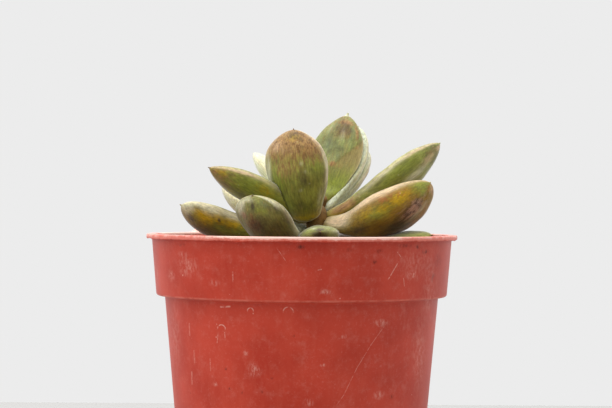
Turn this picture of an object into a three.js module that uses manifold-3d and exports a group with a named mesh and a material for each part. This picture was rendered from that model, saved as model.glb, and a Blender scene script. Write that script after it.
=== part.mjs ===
// A pachyphytum, a small stem succulent with thick pointed leaves, growing in a plastic nursery pot.
// Millimetres, +Z up. The origin is the middle of the pot's foot, on the surface that it stands on.
// The front of the plant, with its upright leaf, faces -Y.
import * as THREE from "three";
import { mergeVertices } from "three/addons/utils/BufferGeometryUtils.js";
import Module from "manifold-3d";

const wasm = await Module();
wasm.setup();

const GAP = 0.3; // left between neighbours that touch

// Driving dimensions of the pot. Radii are of the outside.
const POT = {
  height: 78,
  lipRadius: 45,
  lipThickness: 1.2,
  bandTopRadius: 43.4,
  bandFootRadius: 42,
  bandHeight: 17.6, // from the top of the lip to the step under the band
  bodyTopRadius: 39.6,
  bodyFootRadius: 34,
  wall: 1,
  corner: 0.7, // taken off the band's lower edge and the foot's outer edge
  footWidth: 5.5, // of the flat ring that the pot stands on
  footRise: 2.5, // of the floor's underside above that ring
  drainRadius: 3.5,
  drainCount: 6,
  drainCircle: 18,
  segments: 48,
};
const LIP = POT.height; // the lip's top, which the plant's heights are counted from

// The soil: its surface lies below the lip, has low lumps, and heaps up a little at the stem.
const SOIL = {
  belowLip: 11.5,
  heap: 2,
  heapReach: 20,
  lump: 0.45,
  clearance: 0.5, // to the pot's wall
  rings: 7,
  segments: 40,
};
const SOIL_TOP = LIP - SOIL.belowLip;

// The stem stands a little to the right of the pot's middle, in a plain hole in the soil.
const STEM = { x: 4.2, y: 0, radius: 3.2, buried: 23, crown: 9, dome: 4, taper: 1.3, hole: 3.7, sides: 18 };

// The leaves. Angles are in degrees: heading is the bearing from +X towards +Y that a leaf grows along,
// seat the bearing of its root on the stem, rise its climb above level at the root and at the tip, and
// roll how far its blade turns about its own length. root is the height of its root above the lip, and
// depth the distance of its root from the stem's middle. neck is the width near the root and belly the
// place of the widest part, as shares of the leaf. point is low for a blunt tip and high for a sharp one,
// and shoulder is high for a neck that stays slim for longer.
const LEAVES = [
  // seen from the front
  {
    name: "leaf_front_low", heading: -88, rise: [-15, 13], roll: 6,
    length: 22.7, width: 11.5, thickness: 7.5, root: 1.5,
  },
  {
    name: "leaf_left_front", heading: -126, seat: -150, rise: [13, 51], roll: 4,
    length: 34.5, width: 16, thickness: 8.5, root: -5.9, neck: 0.22, belly: 0.8, point: 0.56,
  },
  {
    name: "leaf_right_fat", heading: -27.5, rise: [-4, 41], roll: -39,
    length: 38.5, width: 14.7, thickness: 10.4, root: 3.9, neck: 0.12, belly: 0.57, point: 0.57,
    shoulder: 2.2, thickNeck: 0.3, bladeEnd: 0.99, pointRadius: 0.4,
  },
  {
    name: "leaf_right_low", heading: -31, rise: [2, 16], roll: 26,
    length: 36.2, width: 12.6, thickness: 6.7, root: -5.8, belly: 0.62, point: 0.8,
  },
  {
    name: "leaf_left_low", heading: 186, rise: [2, 28], roll: 30,
    length: 39.8, width: 13.4, thickness: 7.5, root: -1.6, belly: 0.76, point: 0.6,
  },
  {
    name: "leaf_front_upright", heading: -118, seat: -140, depth: 3.4, rise: [59, 83], roll: 8,
    length: 28.3, width: 18.6, thickness: 8.5, root: 4.1, neck: 0.4, belly: 0.62, point: 0.64,
    pointRadius: 0.3,
  },
  {
    name: "leaf_right_long", heading: 4, rise: [22, 43], roll: -41,
    length: 40.7, width: 12.2, thickness: 6.8, root: 5.4, neck: 0.15, belly: 0.65, point: 0.8,
    shoulder: 2.2, thickNeck: 0.45, bladeEnd: 0.99, pointRadius: 0.4,
  },
  {
    name: "leaf_left_raised", heading: 198, rise: [31, 21], roll: 23,
    length: 34, width: 13.7, thickness: 6.5, root: 4.2, point: 0.87, pointRadius: 0.25,
  },
  {
    name: "leaf_back_tallest", heading: 56, seat: 95, rise: [55, 64], roll: 16,
    length: 33.5, width: 15.9, thickness: 6.5, root: 7.3, neck: 0.18, belly: 0.55, point: 0.78,
    bladeEnd: 0.968, pointRadius: 0.6,
  },
  {
    name: "leaf_back_left_raised", heading: 140, rise: [51, 29], roll: 11,
    length: 30, width: 11, thickness: 6, root: 5,
  },
  {
    name: "leaf_back_left_low", heading: 162, rise: [17, 36],
    length: 31, width: 13, thickness: 6.5, root: 0.6,
  },
  {
    name: "leaf_back_right_inner", heading: 58, rise: [42, 59], roll: -6,
    length: 34.2, width: 14, thickness: 6, root: 6.3, neck: 0.29,
  },
  {
    name: "leaf_back_right_outer", heading: 62, rise: [35, 45], roll: -8,
    length: 34.1, width: 14.7, thickness: 6, root: 5.3, neck: 0.32, belly: 0.6,
  },
  // hidden behind those
  { name: "leaf_inner_left", heading: 175, rise: [66, 82], length: 18, width: 10, thickness: 6, root: 6 },
  { name: "leaf_back_raised", heading: 102, rise: [14, 34], length: 31, width: 13, thickness: 6.5, root: 1 },
  { name: "leaf_right_lowest", heading: 12, rise: [0, 4], length: 28, width: 12, thickness: 6.5, root: -4 },
  { name: "leaf_back_low_right", heading: 66, rise: [-4, 14], length: 33, width: 14, thickness: 7, root: -3 },
  { name: "leaf_back_low_left", heading: 122, rise: [-2, 12], length: 33, width: 14, thickness: 7, root: -3 },
];

// What every leaf has unless its own entry says otherwise.
const USUAL_LEAF = {
  roll: 0,
  depth: 2.2,
  neck: 0.34,
  belly: 0.58,
  point: 0.75,
  shoulder: 1.15,
  rootEnd: 0.08, // the share of its length over which the root rounds off
  bladeEnd: 0.985, // the share where the blade ends, and beyond it there is only the little point
  pointRadius: 0.35,
  upperShare: 0.36, // of the thickness that lies above the midline
  thickNeck: 0.55,
  thickBelly: 0.45,
  thickPoint: 0.7,
  sides: 14,
  steps: 15,
};

// The youngest leaves at the growing tip, each a little smaller than the last and turned on from it.
const SPROUTS = { count: 3, heading: 125, turn: 137.5, shrink: 0.16, sunk: 2 };
const SPROUT = { rise: [66, 84], length: 7, width: 4, thickness: 2.8, depth: 1.2, sides: 8, steps: 7 };

const LEAF_GREEN = 0x8b9a62;
const STEM_OLIVE = 0x7d7a4c;
const SOIL_BROWN = 0x3a2c22;
const POT_RED = 0xb54a38;

const radians = THREE.MathUtils.degToRad;

// A closed geometry as a solid, for the cuts and joins.
function solidOf(geometry) {
  const bare = geometry.clone();
  bare.deleteAttribute("normal");
  bare.deleteAttribute("uv");
  const merged = mergeVertices(bare, 1e-4);
  return new wasm.Manifold(
    new wasm.Mesh({
      numProp: 3,
      vertProperties: merged.attributes.position.array,
      triVerts: new Uint32Array(merged.index.array),
    }),
  );
}

// The largest body of a solid, as a geometry, so that a cut leaves no scraps.
function geometryOf(solid) {
  const [largest] = solid.decompose().sort((a, b) => b.volume() - a.volume());
  const mesh = largest.getMesh();
  return new THREE.BufferGeometry()
    .setAttribute("position", new THREE.BufferAttribute(mesh.vertProperties, 3))
    .setIndex(new THREE.BufferAttribute(mesh.triVerts, 1));
}

// A round solid from a profile of [radius, height] points, turned about +Z.
function turned(profile, segments) {
  const points = profile.map(([radius, height]) => new THREE.Vector2(radius, height));
  return new THREE.LatheGeometry(points, segments).rotateX(Math.PI / 2);
}

// An upright cylinder from height low to height high.
function upright(radius, low, high, x, y) {
  return new THREE.CylinderGeometry(radius, radius, high - low, 24)
    .rotateX(Math.PI / 2)
    .translate(x, y, (low + high) / 2);
}

// The pot: one moulded wall that follows the step under the band, on a foot ring, with drain holes.
function potGeometry() {
  const { wall, corner, footWidth, footRise } = POT;
  const step = POT.height - POT.bandHeight;
  const lipFoot = POT.height - POT.lipThickness;
  const floor = footRise + wall;
  const profile = [
    [0, footRise],
    [POT.bodyFootRadius - footWidth - corner, footRise],
    [POT.bodyFootRadius - footWidth, 0],
    [POT.bodyFootRadius - corner, 0],
    [POT.bodyFootRadius, corner],
    [POT.bodyTopRadius, step],
    [POT.bandFootRadius - corner, step],
    [POT.bandFootRadius, step + corner],
    [POT.bandTopRadius, lipFoot],
    [POT.lipRadius, lipFoot],
    [POT.lipRadius, POT.height],
    [POT.bandTopRadius - wall, POT.height],
    [POT.bandFootRadius - wall, step + wall],
    [POT.bodyTopRadius - wall, step + wall],
    [POT.bodyFootRadius - wall, floor],
    [0, floor],
  ];
  let pot = solidOf(turned(profile, POT.segments));
  const drain = (x, y) => solidOf(upright(POT.drainRadius, 0, 2 * floor, x, y));
  pot = pot.subtract(drain(0, 0));
  for (let i = 0; i < POT.drainCount; i++) {
    const turn = (i * 2 * Math.PI) / POT.drainCount;
    pot = pot.subtract(drain(POT.drainCircle * Math.cos(turn), POT.drainCircle * Math.sin(turn)));
  }
  return geometryOf(pot);
}

// Height of the soil's surface: a heap that falls off with distance from the stem, and crossed waves.
function soilHeight(x, y) {
  const away = Math.hypot(x - STEM.x, y - STEM.y) / SOIL.heapReach;
  const heap = SOIL.heap * Math.exp(-(away ** 2));
  const wavesAcross = Math.sin(0.55 * x + 0.9 * Math.sin(0.31 * y));
  const wavesAlong = Math.sin(0.63 * y - 1.1 * Math.sin(0.27 * x));
  return SOIL_TOP + heap + SOIL.lump * (wavesAcross + wavesAlong);
}

// The soil fills the pot, and its hole takes the stem's foot.
function soilGeometry() {
  const { wall } = POT;
  const clear = wall + SOIL.clearance;
  const step = POT.height - POT.bandHeight;
  const ledge = step + clear;
  const floor = POT.footRise + wall + GAP;
  const bandRadius = THREE.MathUtils.mapLinear(SOIL_TOP, step, LIP, POT.bandFootRadius, POT.bandTopRadius);
  const profile = [
    [0, floor],
    [POT.bodyFootRadius - clear, floor],
    [POT.bodyTopRadius - clear, ledge],
    [POT.bandFootRadius - clear, ledge],
  ];
  for (let ring = SOIL.rings; ring >= 0; ring--) {
    profile.push([((bandRadius - clear) * ring) / SOIL.rings, SOIL_TOP]);
  }
  const body = turned(profile, SOIL.segments);
  const at = body.attributes.position;
  for (let i = 0; i < at.count; i++) {
    const onTop = Math.abs(at.getZ(i) - SOIL_TOP) < 1e-3;
    if (onTop) at.setZ(i, soilHeight(at.getX(i), at.getY(i)));
  }
  const holeFoot = SOIL_TOP - STEM.buried - GAP;
  const hole = upright(STEM.hole, holeFoot, SOIL_TOP + 2 * SOIL.heap, STEM.x, STEM.y);
  return geometryOf(solidOf(body).subtract(solidOf(hole)));
}

// The stem as a turned post with a domed top, grown outwards by extra.
function stemPost(extra) {
  const foot = SOIL_TOP - STEM.buried - extra;
  const radius = STEM.radius + extra;
  const shoulder = LIP + STEM.crown + extra - STEM.dome;
  const profile = [[0, foot], [radius - STEM.taper, foot], [radius, foot + STEM.taper]];
  for (const climb of [0, 30, 60, 90]) {
    profile.push([radius * Math.cos(radians(climb)), shoulder + STEM.dome * Math.sin(radians(climb))]);
  }
  return turned(profile, STEM.sides).translate(STEM.x, STEM.y, 0);
}

// The way that a bearing and a climb point.
function direction(heading, rise) {
  const a = radians(heading);
  const e = radians(rise);
  return new THREE.Vector3(Math.cos(e) * Math.cos(a), Math.cos(e) * Math.sin(a), Math.sin(e));
}

// Size across a leaf at share t of its length, of its most: a round root end, a neck, the belly where
// it is most, and a rounded fall to the end of the blade.
function share(t, neck, belly, point, leaf) {
  const root = Math.sqrt(1 - Math.max(0, 1 - t / leaf.rootEnd) ** 2);
  const rise = neck + (1 - neck) * Math.sin((Math.PI / 2) * Math.min(1, t / belly)) ** leaf.shoulder;
  const past = THREE.MathUtils.clamp((t / leaf.bladeEnd - belly) / (1 - belly), 0, 1);
  return root * rise * (1 - past ** 2) ** point;
}

// A leaf is a sphere's grid drawn out along a curved midline: a grid point's height on the sphere gives
// its place along the midline, and its bearing gives its place round the section, which is flatter above
// and full below. extra grows the leaf outwards, though not at its two ends.
function leafGeometry(entry, extra = 0) {
  const leaf = { ...USUAL_LEAF, seat: entry.heading, ...entry };
  const half = leaf.length / 2;
  const root = direction(leaf.seat, 0).multiplyScalar(leaf.depth);
  root.add(new THREE.Vector3(STEM.x, STEM.y, LIP + leaf.root));
  const knee = root.clone().addScaledVector(direction(leaf.heading, leaf.rise[0]), half);
  const tip = knee.clone().addScaledVector(direction(leaf.heading, leaf.rise[1]), half);
  const midline = new THREE.QuadraticBezierCurve3(root, knee, tip);
  const level = direction(leaf.heading + 90, 0);
  const geometry = new THREE.SphereGeometry(1, leaf.sides, leaf.steps);
  const at = geometry.attributes.position;
  for (let i = 0; i < at.count; i++) {
    const t = THREE.MathUtils.clamp((1 + at.getY(i)) / 2, 0, 1);
    const bearing = Math.atan2(at.getZ(i), at.getX(i));
    const along = midline.getTangent(t);
    const side = level.clone().applyAxisAngle(along, radians(leaf.roll));
    const out = along.clone().cross(side);
    const pointShare = Math.sqrt(1 - t ** 30) * THREE.MathUtils.smoothstep(t, 0.5, 0.8);
    const skin = leaf.pointRadius * pointShare + extra * (1 - at.getY(i) ** 2) ** 0.25;
    const halfWidth = (leaf.width / 2) * share(t, leaf.neck, leaf.belly, leaf.point, leaf);
    const above = Math.cos(bearing) > 0 ? leaf.upperShare : 1 - leaf.upperShare;
    const thick = leaf.thickness * share(t, leaf.thickNeck, leaf.thickBelly, leaf.thickPoint, leaf);
    const place = midline
      .getPoint(t)
      .addScaledVector(side, (halfWidth + skin) * Math.sin(bearing))
      .addScaledVector(out, (above * thick + skin) * Math.cos(bearing));
    at.setXYZ(i, place.x, place.y, place.z);
  }
  return geometry;
}

// The stem, joined with the young leaves at its growing tip, which are still one piece with it.
function stemSolid(extra = 0) {
  let stem = solidOf(stemPost(extra));
  for (let i = 0; i < SPROUTS.count; i++) {
    const size = 1 - SPROUTS.shrink * i;
    const sprout = {
      ...SPROUT,
      heading: SPROUTS.heading + SPROUTS.turn * i,
      root: STEM.crown - SPROUTS.sunk,
      length: SPROUT.length * size,
      width: SPROUT.width * size,
      thickness: SPROUT.thickness * size,
    };
    stem = stem.add(solidOf(leafGeometry(sprout, extra)));
  }
  return stem;
}

function mesh(name, geometry, color, roughness) {
  const piece = new THREE.Mesh(geometry, new THREE.MeshStandardMaterial({ color, roughness, metalness: 0 }));
  piece.name = name;
  return piece;
}

const plant = new THREE.Group();
plant.add(mesh("pot", potGeometry(), POT_RED, 0.45));
plant.add(mesh("soil", soilGeometry(), SOIL_BROWN, 0.95));
plant.add(mesh("stem", geometryOf(stemSolid()), STEM_OLIVE, 0.7));

// Each leaf is cut clear of the stem and of the leaves before it, as crowded leaves press each other flat.
let taken = stemSolid(GAP);
for (const leaf of LEAVES) {
  const cut = solidOf(leafGeometry(leaf)).subtract(taken);
  taken = taken.add(solidOf(leafGeometry(leaf, GAP)));
  plant.add(mesh(leaf.name, geometryOf(cut), LEAF_GREEN, 0.6));
}

export default plant;
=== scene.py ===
# %% [markdown]
# # A potted pachyphytum
#
# A pachyphytum is a small stem succulent. Its leaves are thick, pointed and dusted with a pale powder, and
# they crowd round a short stem. This one grows in a moulded plastic nursery pot.
#
# The lesson builds it piece by piece: the leaves, the stem, the pot and the soil, then their finishes,
# and last the light and the camera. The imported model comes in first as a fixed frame. It holds every
# piece's place and size, so a finer piece made here stands exactly where the plain solid stands.

import math

import bpy
import numpy as np
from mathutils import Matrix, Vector


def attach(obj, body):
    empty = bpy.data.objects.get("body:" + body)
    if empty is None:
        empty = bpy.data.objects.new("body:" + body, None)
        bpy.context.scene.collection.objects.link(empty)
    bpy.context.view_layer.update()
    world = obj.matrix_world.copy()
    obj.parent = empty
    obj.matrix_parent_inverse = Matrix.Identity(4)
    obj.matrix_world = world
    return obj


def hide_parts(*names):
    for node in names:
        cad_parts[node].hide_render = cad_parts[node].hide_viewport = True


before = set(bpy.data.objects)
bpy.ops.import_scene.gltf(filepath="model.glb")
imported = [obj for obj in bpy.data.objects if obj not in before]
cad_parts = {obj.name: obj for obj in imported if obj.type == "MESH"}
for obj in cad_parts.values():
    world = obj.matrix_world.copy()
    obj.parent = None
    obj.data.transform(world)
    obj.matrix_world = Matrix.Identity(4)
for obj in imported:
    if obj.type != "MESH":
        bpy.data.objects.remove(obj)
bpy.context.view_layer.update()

# %% [markdown]
# The sizes are in millimetres, as a gardener or a pot maker would give them, and become metres only when
# a mesh is made. They are the same sizes that the plain solids have. Heights count from the surface that
# the pot stands on, except where a comment says otherwise.

# %% Sizes of the pot, the soil and the stem
MM = 0.001
LIP = 78.0
POT = {
    "lip_radius": 45.0, "lip_thickness": 1.2, "band_top": 43.4, "band_foot": 42.0, "band_height": 17.6,
    "body_top": 39.6, "body_foot": 34.0, "wall": 1.0, "corner": 0.7, "foot_width": 5.5, "foot_rise": 2.5,
    "drain_radius": 3.5, "drain_count": 6, "drain_circle": 18.0,
}
SOIL = {"top": 66.5, "heap": 2.0, "heap_reach": 20.0, "lump": 0.45, "clearance": 0.5, "floor": 3.8}
STEM = {"x": 4.2, "y": 0.0, "radius": 3.2, "foot": 43.5, "crown": 9.0, "dome": 4.0}
print("The pot is", 2 * POT["lip_radius"], "mm wide at its lip and", LIP, "mm high")

# %% [markdown]
# A leaf leaves the stem at a heading, a bearing counted from the right towards the back, and rise holds its
# climb at the root and at the tip. seat is the bearing of its root on the stem, and roll turns its blade
# about its own length. All of them are in degrees. root is the height of its root above the lip, and depth
# its distance from the stem's middle. neck is the width near the root and belly the place of the widest
# part, as shares. point is low for a blunt tip and high for a sharp one, and shoulder is high for a neck
# that stays slim for longer. The root end rounds off up to root_end, and the blade ends at blade_end in a
# hard point of point_radius. The words with thick do the same for the thickness, upper_share is how much of
# it lies above the midline, and keel is the height of the ridge below.
#
# The sizes are those of the plain solids, except that three leaves on the right were brought a little
# closer to the plant, and the tallest is a hair shorter, so that it stays inside the plain model's box.

# %% Sizes of the leaves
USUAL_LEAF = {
    "roll": 0, "depth": 2.2, "neck": 0.34, "belly": 0.58, "point": 0.75, "root_end": 0.08, "blade_end": 0.985,
    "point_radius": 0.35, "upper_share": 0.36, "thick_neck": 0.55, "thick_belly": 0.45, "thick_point": 0.7,
    "shoulder": 1.15, "keel": 0.25,
}
LEAVES = {
    "leaf_front_low": {
        "heading": -88, "rise": (-15, 13), "roll": 6, "length": 22.7, "width": 11.5, "thickness": 7.5,
        "root": 1.5,
    },
    "leaf_left_front": {
        "heading": -126, "seat": -150, "rise": (13, 51), "roll": 4, "length": 34.5, "width": 16,
        "thickness": 8.5, "root": -5.9, "neck": 0.22, "belly": 0.8, "point": 0.56, "keel": 0.8,
    },
    "leaf_right_fat": {
        "heading": -27.5, "rise": (-4, 41), "roll": -39, "length": 38.5, "width": 14.7, "thickness": 10.4,
        "root": 3.9, "neck": 0.12, "belly": 0.57, "point": 0.57, "shoulder": 2.2, "thick_neck": 0.5,
        "blade_end": 0.99, "point_radius": 0.4,
    },
    "leaf_right_low": {
        "heading": -31, "rise": (2, 16), "roll": 26, "length": 36.2, "width": 12.6, "thickness": 6.7,
        "root": -5.2, "belly": 0.62, "point": 0.8,
    },
    "leaf_left_low": {
        "heading": 186, "rise": (2, 28), "roll": 30, "length": 39.8, "width": 13.4, "thickness": 7.5,
        "root": -1.6, "belly": 0.76, "point": 0.6,
    },
    "leaf_front_upright": {
        "heading": -118, "seat": -140, "depth": 3.4, "rise": (59, 83), "roll": 8, "length": 28.3,
        "width": 18.6, "thickness": 8.5, "root": 4.1, "neck": 0.4, "belly": 0.62, "point": 0.64,
        "point_radius": 0.3,
    },
    "leaf_right_long": {
        "heading": 4, "rise": (22, 43), "roll": -41, "length": 40.7, "width": 12.2, "thickness": 6.8,
        "root": 5.4, "neck": 0.15, "belly": 0.65, "point": 0.8, "shoulder": 2.2, "thick_neck": 0.45,
        "blade_end": 0.99, "point_radius": 0.4,
    },
    "leaf_left_raised": {
        "heading": 198, "rise": (31, 21), "roll": 23, "length": 34, "width": 13.7, "thickness": 6.5,
        "root": 4.2, "point": 0.87, "point_radius": 0.25,
    },
    "leaf_back_tallest": {
        "heading": 56, "seat": 95, "rise": (55, 64), "roll": 16, "length": 33.48, "width": 15.9,
        "thickness": 6.5, "root": 7.3, "neck": 0.18, "belly": 0.55, "point": 0.78, "blade_end": 0.968,
        "point_radius": 0.6, "crease": ((0.43, -0.07), (0.76, -0.97)),
    },
    "leaf_back_left_raised": {
        "heading": 140, "rise": (51, 29), "roll": 11, "length": 30, "width": 11, "thickness": 6, "root": 5,
    },
    "leaf_back_left_low": {
        "heading": 162, "rise": (17, 36), "length": 31, "width": 13, "thickness": 6.5, "root": 0.6,
    },
    "leaf_back_right_inner": {
        "heading": 58, "rise": (42, 59), "roll": -6, "length": 34.2, "width": 14, "thickness": 6, "root": 6.3,
        "neck": 0.29,
    },
    "leaf_back_right_outer": {
        "heading": 62, "rise": (35, 45), "roll": -8, "length": 34.1, "width": 14.7, "thickness": 6,
        "root": 5.3, "neck": 0.32, "belly": 0.6,
    },
    "leaf_inner_left": {
        "heading": 175, "rise": (66, 82), "length": 18, "width": 10, "thickness": 6, "root": 6,
    },
    "leaf_back_raised": {
        "heading": 102, "rise": (14, 34), "length": 31, "width": 13, "thickness": 6.5, "root": 1,
    },
    "leaf_right_lowest": {
        "heading": 12, "rise": (-6, 0), "length": 28, "width": 12, "thickness": 6.5, "root": -1.2,
    },
    "leaf_back_low_right": {
        "heading": 66, "rise": (-4, 14), "length": 33, "width": 14, "thickness": 7, "root": -3,
    },
    "leaf_back_low_left": {
        "heading": 122, "rise": (-2, 12), "length": 33, "width": 14, "thickness": 7, "root": -3,
    },
}
for name, entry in LEAVES.items():
    LEAVES[name] = {**USUAL_LEAF, "seat": entry["heading"], **entry}
print(len(LEAVES), "leaves, the longest", max(leaf["length"] for leaf in LEAVES.values()), "mm long")

# %% [markdown]
# Every form here is a grid of points: rows run along the form and columns go round it. Neighbouring grid
# points are joined into four-sided faces. The first and the last row shrink to one point each, and a fan
# of triangles closes the form there, so that it has no open end. Working on whole arrays keeps this quick.

# %% Turn a grid of points into a closed form
def bearings(columns):
    """Bearings in radians that go once round, evenly spaced."""
    return np.linspace(0, 2 * math.pi, columns, endpoint=False)


def grid_faces(rows, columns):
    """Faces of a grid whose columns go all the way round.

    A point's number is its row times the number of columns, plus its column, and each face takes a point,
    its neighbour round the form, and the same two in the next row.
    """
    row, column = np.meshgrid(np.arange(rows - 1), np.arange(columns), indexing="ij")
    beside = (column + 1) % columns
    here = row * columns
    corners = [here + column, here + beside, here + columns + beside, here + columns + column]
    return np.stack(corners, axis=-1).reshape(-1, 4)


def closed_form(grid):
    """Points and faces of a form closed at both ends, like a globe from pole to pole.

    The rows between the ends keep their points, and each end row becomes its own average point.
    """
    rows, columns = grid.shape[:2]
    between = grid[1:-1].reshape(-1, 3)
    points = np.vstack([between, grid[0].mean(axis=0), grid[-1].mean(axis=0)])
    around = np.arange(columns)
    beside = (around + 1) % columns
    last_row = len(between) - columns
    first_fan = np.stack([np.full(columns, len(between)), beside, around], axis=1)
    last_fan = np.stack([np.full(columns, len(between) + 1), last_row + around, last_row + beside], axis=1)
    return points, grid_faces(rows - 2, columns).tolist() + first_fan.tolist() + last_fan.tolist()


def closed_values(grid):
    """A value at each grid point, in the same order as closed_form puts the points."""
    return np.concatenate([grid[1:-1].ravel(), [grid[0].mean()], [grid[-1].mean()]])


print("A grid of 5 rows and 8 columns has", len(grid_faces(5, 8)), "faces")

# %% [markdown]
# A form becomes a piece when its points and faces go into a mesh, and the mesh into an object. The faces have
# to look outwards, so the volume inside them is measured first, and they are turned round if it comes out
# below nought. The object then rides on the model's fixed body, and stands in for the plain solid.

# %% Make a piece of a form
def enclosed(points, faces):
    """Volume inside the faces: each face's first triangle spans a corner block with the middle point.

    The sum is above nought where the faces look outwards, and below where they look inwards.
    """
    first = np.array([face[:3] for face in faces])
    a, b, c = (points[first[:, i]] - points.mean(axis=0) for i in range(3))
    return float(np.einsum("ij,ij->i", a, np.cross(b, c)).sum())


def make_piece(name, points, faces, values=None, node=None, slot=None, crisp=180):
    """A mesh object of these points, given in millimetres, which rides on the fixed body of the model.

    values are numbers at each point, for the finish to read. Edges sharper than crisp degrees stay hard.
    """
    if enclosed(points, faces) < 0:
        faces = [face[::-1] for face in faces]
    mesh = bpy.data.meshes.new(name)
    mesh.from_pydata((points * MM).tolist(), [], faces)
    for label, numbers in (values or {}).items():
        kind = "FLOAT_VECTOR" if numbers.ndim == 2 else "FLOAT"
        layer = mesh.attributes.new(label, kind, "POINT")
        layer.data.foreach_set("vector" if numbers.ndim == 2 else "value", numbers.astype(np.float32).ravel())
    mesh.shade_smooth()
    if crisp < 180:
        mesh.set_sharp_from_angle(angle=math.radians(crisp))
    piece = bpy.data.objects.new(name, mesh)
    bpy.context.scene.collection.objects.link(piece)
    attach(piece, "root")
    if node:
        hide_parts(node)
    return piece


cube = np.array([[x, y, z] for x in (0, 1) for y in (0, 1) for z in (0, 1)], float)
cube_faces = [(0, 1, 3, 2), (4, 6, 7, 5), (0, 4, 5, 1), (2, 3, 7, 6), (0, 2, 6, 4), (1, 5, 7, 3)]
print("A cube's faces look outwards:", enclosed(cube, cube_faces) > 0)

# %% [markdown]
# Nothing that grows is perfectly smooth. A few long waves that cross each other in all directions give a
# quiet unevenness without any repeat. The directions come from a seeded table of random numbers, so the
# plant comes out the same at every run.

# %% Helpers for soft changes
def waves(places, length, seed, count=7):
    """Uneven values from about -1 to 1 at places in millimetres.

    It is the sum of sines along random directions, each about one wave in length millimetres, divided by
    the square root of half their number.
    """
    chance = np.random.default_rng(seed)
    ways = chance.normal(size=(count, 3))
    ways /= np.linalg.norm(ways, axis=1, keepdims=True)
    rates = 2 * math.pi / (length * chance.uniform(0.7, 1.5, count))
    starts = chance.uniform(0, 2 * math.pi, count)
    return np.sin((places @ ways.T) * rates + starts).sum(axis=-1) / math.sqrt(count / 2)


def ease(value, low, high):
    """Nought below low and one above high, with a soft S between: 3 s squared less 2 s cubed."""
    s = np.clip((value - low) / (high - low), 0, 1)
    return s * s * (3 - 2 * s)


def bell(value, middle, width):
    """One at the middle, falling off on both sides as e to the minus squared distance over width."""
    return np.exp(-(((value - middle) / width) ** 2))


sample = waves(np.random.default_rng(1).uniform(-40, 40, (2000, 3)), 12, 5)
print("Waves run from", round(float(sample.min()), 2), "to", round(float(sample.max()), 2))

# %% [markdown]
# A pachyphytum's leaf is a fat spindle. It is narrow where it leaves the stem, widest past its middle,
# and ends in a small hard point. Seen end on it is flatter above and full below, with a faint keel under
# the tip. It could be sculpted by hand, but a formula gives eighteen leaves from one small table: a curved
# midline, and round it a section whose width and thickness swell and shrink along the leaf. The midline
# comes first, a smooth curve that starts at one climb and ends at another.

# %% A leaf's midline
def direction(heading, rise):
    """The way that a bearing and a climb point, as a unit vector."""
    a, e = math.radians(heading), math.radians(rise)
    return np.array([math.cos(e) * math.cos(a), math.cos(e) * math.sin(a), math.sin(e)])


def midline(leaf, t):
    """Places on a leaf's midline, with its directions along, across and out of the upper face.

    The place is root (1-t)^2 + knee 2t(1-t) + tip t^2. The leaf grows half its length from the root to the
    knee at its first climb, and the other half to the tip at its second.
    """
    stem = np.array([STEM["x"], STEM["y"], LIP + leaf["root"]])
    root = stem + leaf["depth"] * direction(leaf["seat"], 0)
    knee = root + direction(leaf["heading"], leaf["rise"][0]) * leaf["length"] / 2
    tip = knee + direction(leaf["heading"], leaf["rise"][1]) * leaf["length"] / 2
    s = np.asarray(t, float)[..., None]
    place = root * (1 - s) ** 2 + knee * 2 * s * (1 - s) + tip * s**2
    along = (knee - root) * (1 - s) + (tip - knee) * s
    along /= np.linalg.norm(along, axis=-1, keepdims=True)
    level = direction(leaf["heading"] + 90, 0)
    turn = math.radians(leaf["roll"])
    across = level * math.cos(turn) + np.cross(along, level) * math.sin(turn)
    return place, along, across, np.cross(along, across)


tallest = LEAVES["leaf_back_tallest"]
print("The tallest leaf's midline ends", round(float(midline(tallest, 1.0)[0][2]), 1), "mm up")

# %% [markdown]
# Round the midline goes the section. Its half width and its thickness above and below are each the leaf's
# own size times a swelling: round at the root end, rising to the belly, then falling to the tip.

# %% How a leaf swells and shrinks
def swell(t, neck, belly, point, leaf):
    """Size at share t of the length: a round root end, times a rise to one at the belly, times a fall.

    The rise is neck + (1-neck) sin(quarter turn of t/belly)^shoulder, and the fall is (1 - past^2)^point,
    where past counts from nought at the belly to one where the blade ends.
    """
    root = np.sqrt(1 - np.maximum(0, 1 - t / leaf["root_end"]) ** 2)
    rise = neck + (1 - neck) * np.sin(math.pi / 2 * np.minimum(1, t / belly)) ** leaf["shoulder"]
    past = np.clip((t / leaf["blade_end"] - belly) / (1 - belly), 0, 1)
    return root * rise * (1 - past**2) ** point


def half_sizes(leaf, t):
    """Half the width, the thickness above the midline and the thickness below it, at share t."""
    skin = leaf["point_radius"] * np.sqrt(np.maximum(0, 1 - t**30)) * ease(t, 0.5, 0.8)
    width = leaf["width"] / 2 * swell(t, leaf["neck"], leaf["belly"], leaf["point"], leaf) + skin
    thick = leaf["thickness"] * swell(t, leaf["thick_neck"], leaf["thick_belly"], leaf["thick_point"], leaf)
    return width, leaf["upper_share"] * thick + skin, (1 - leaf["upper_share"]) * thick + skin


widths = half_sizes(tallest, np.linspace(0, 1, 200))[0]
print("Its greatest half width is", round(float(widths.max()), 1), "mm")

# %% [markdown]
# The surface is the midline plus the section, with three small things that a real leaf has: a keel below,
# a skin that isn't quite even, and on one leaf a crease where it was folded over in the bud.

# %% A leaf's surface
ROWS, COLUMNS = 120, 96


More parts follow.
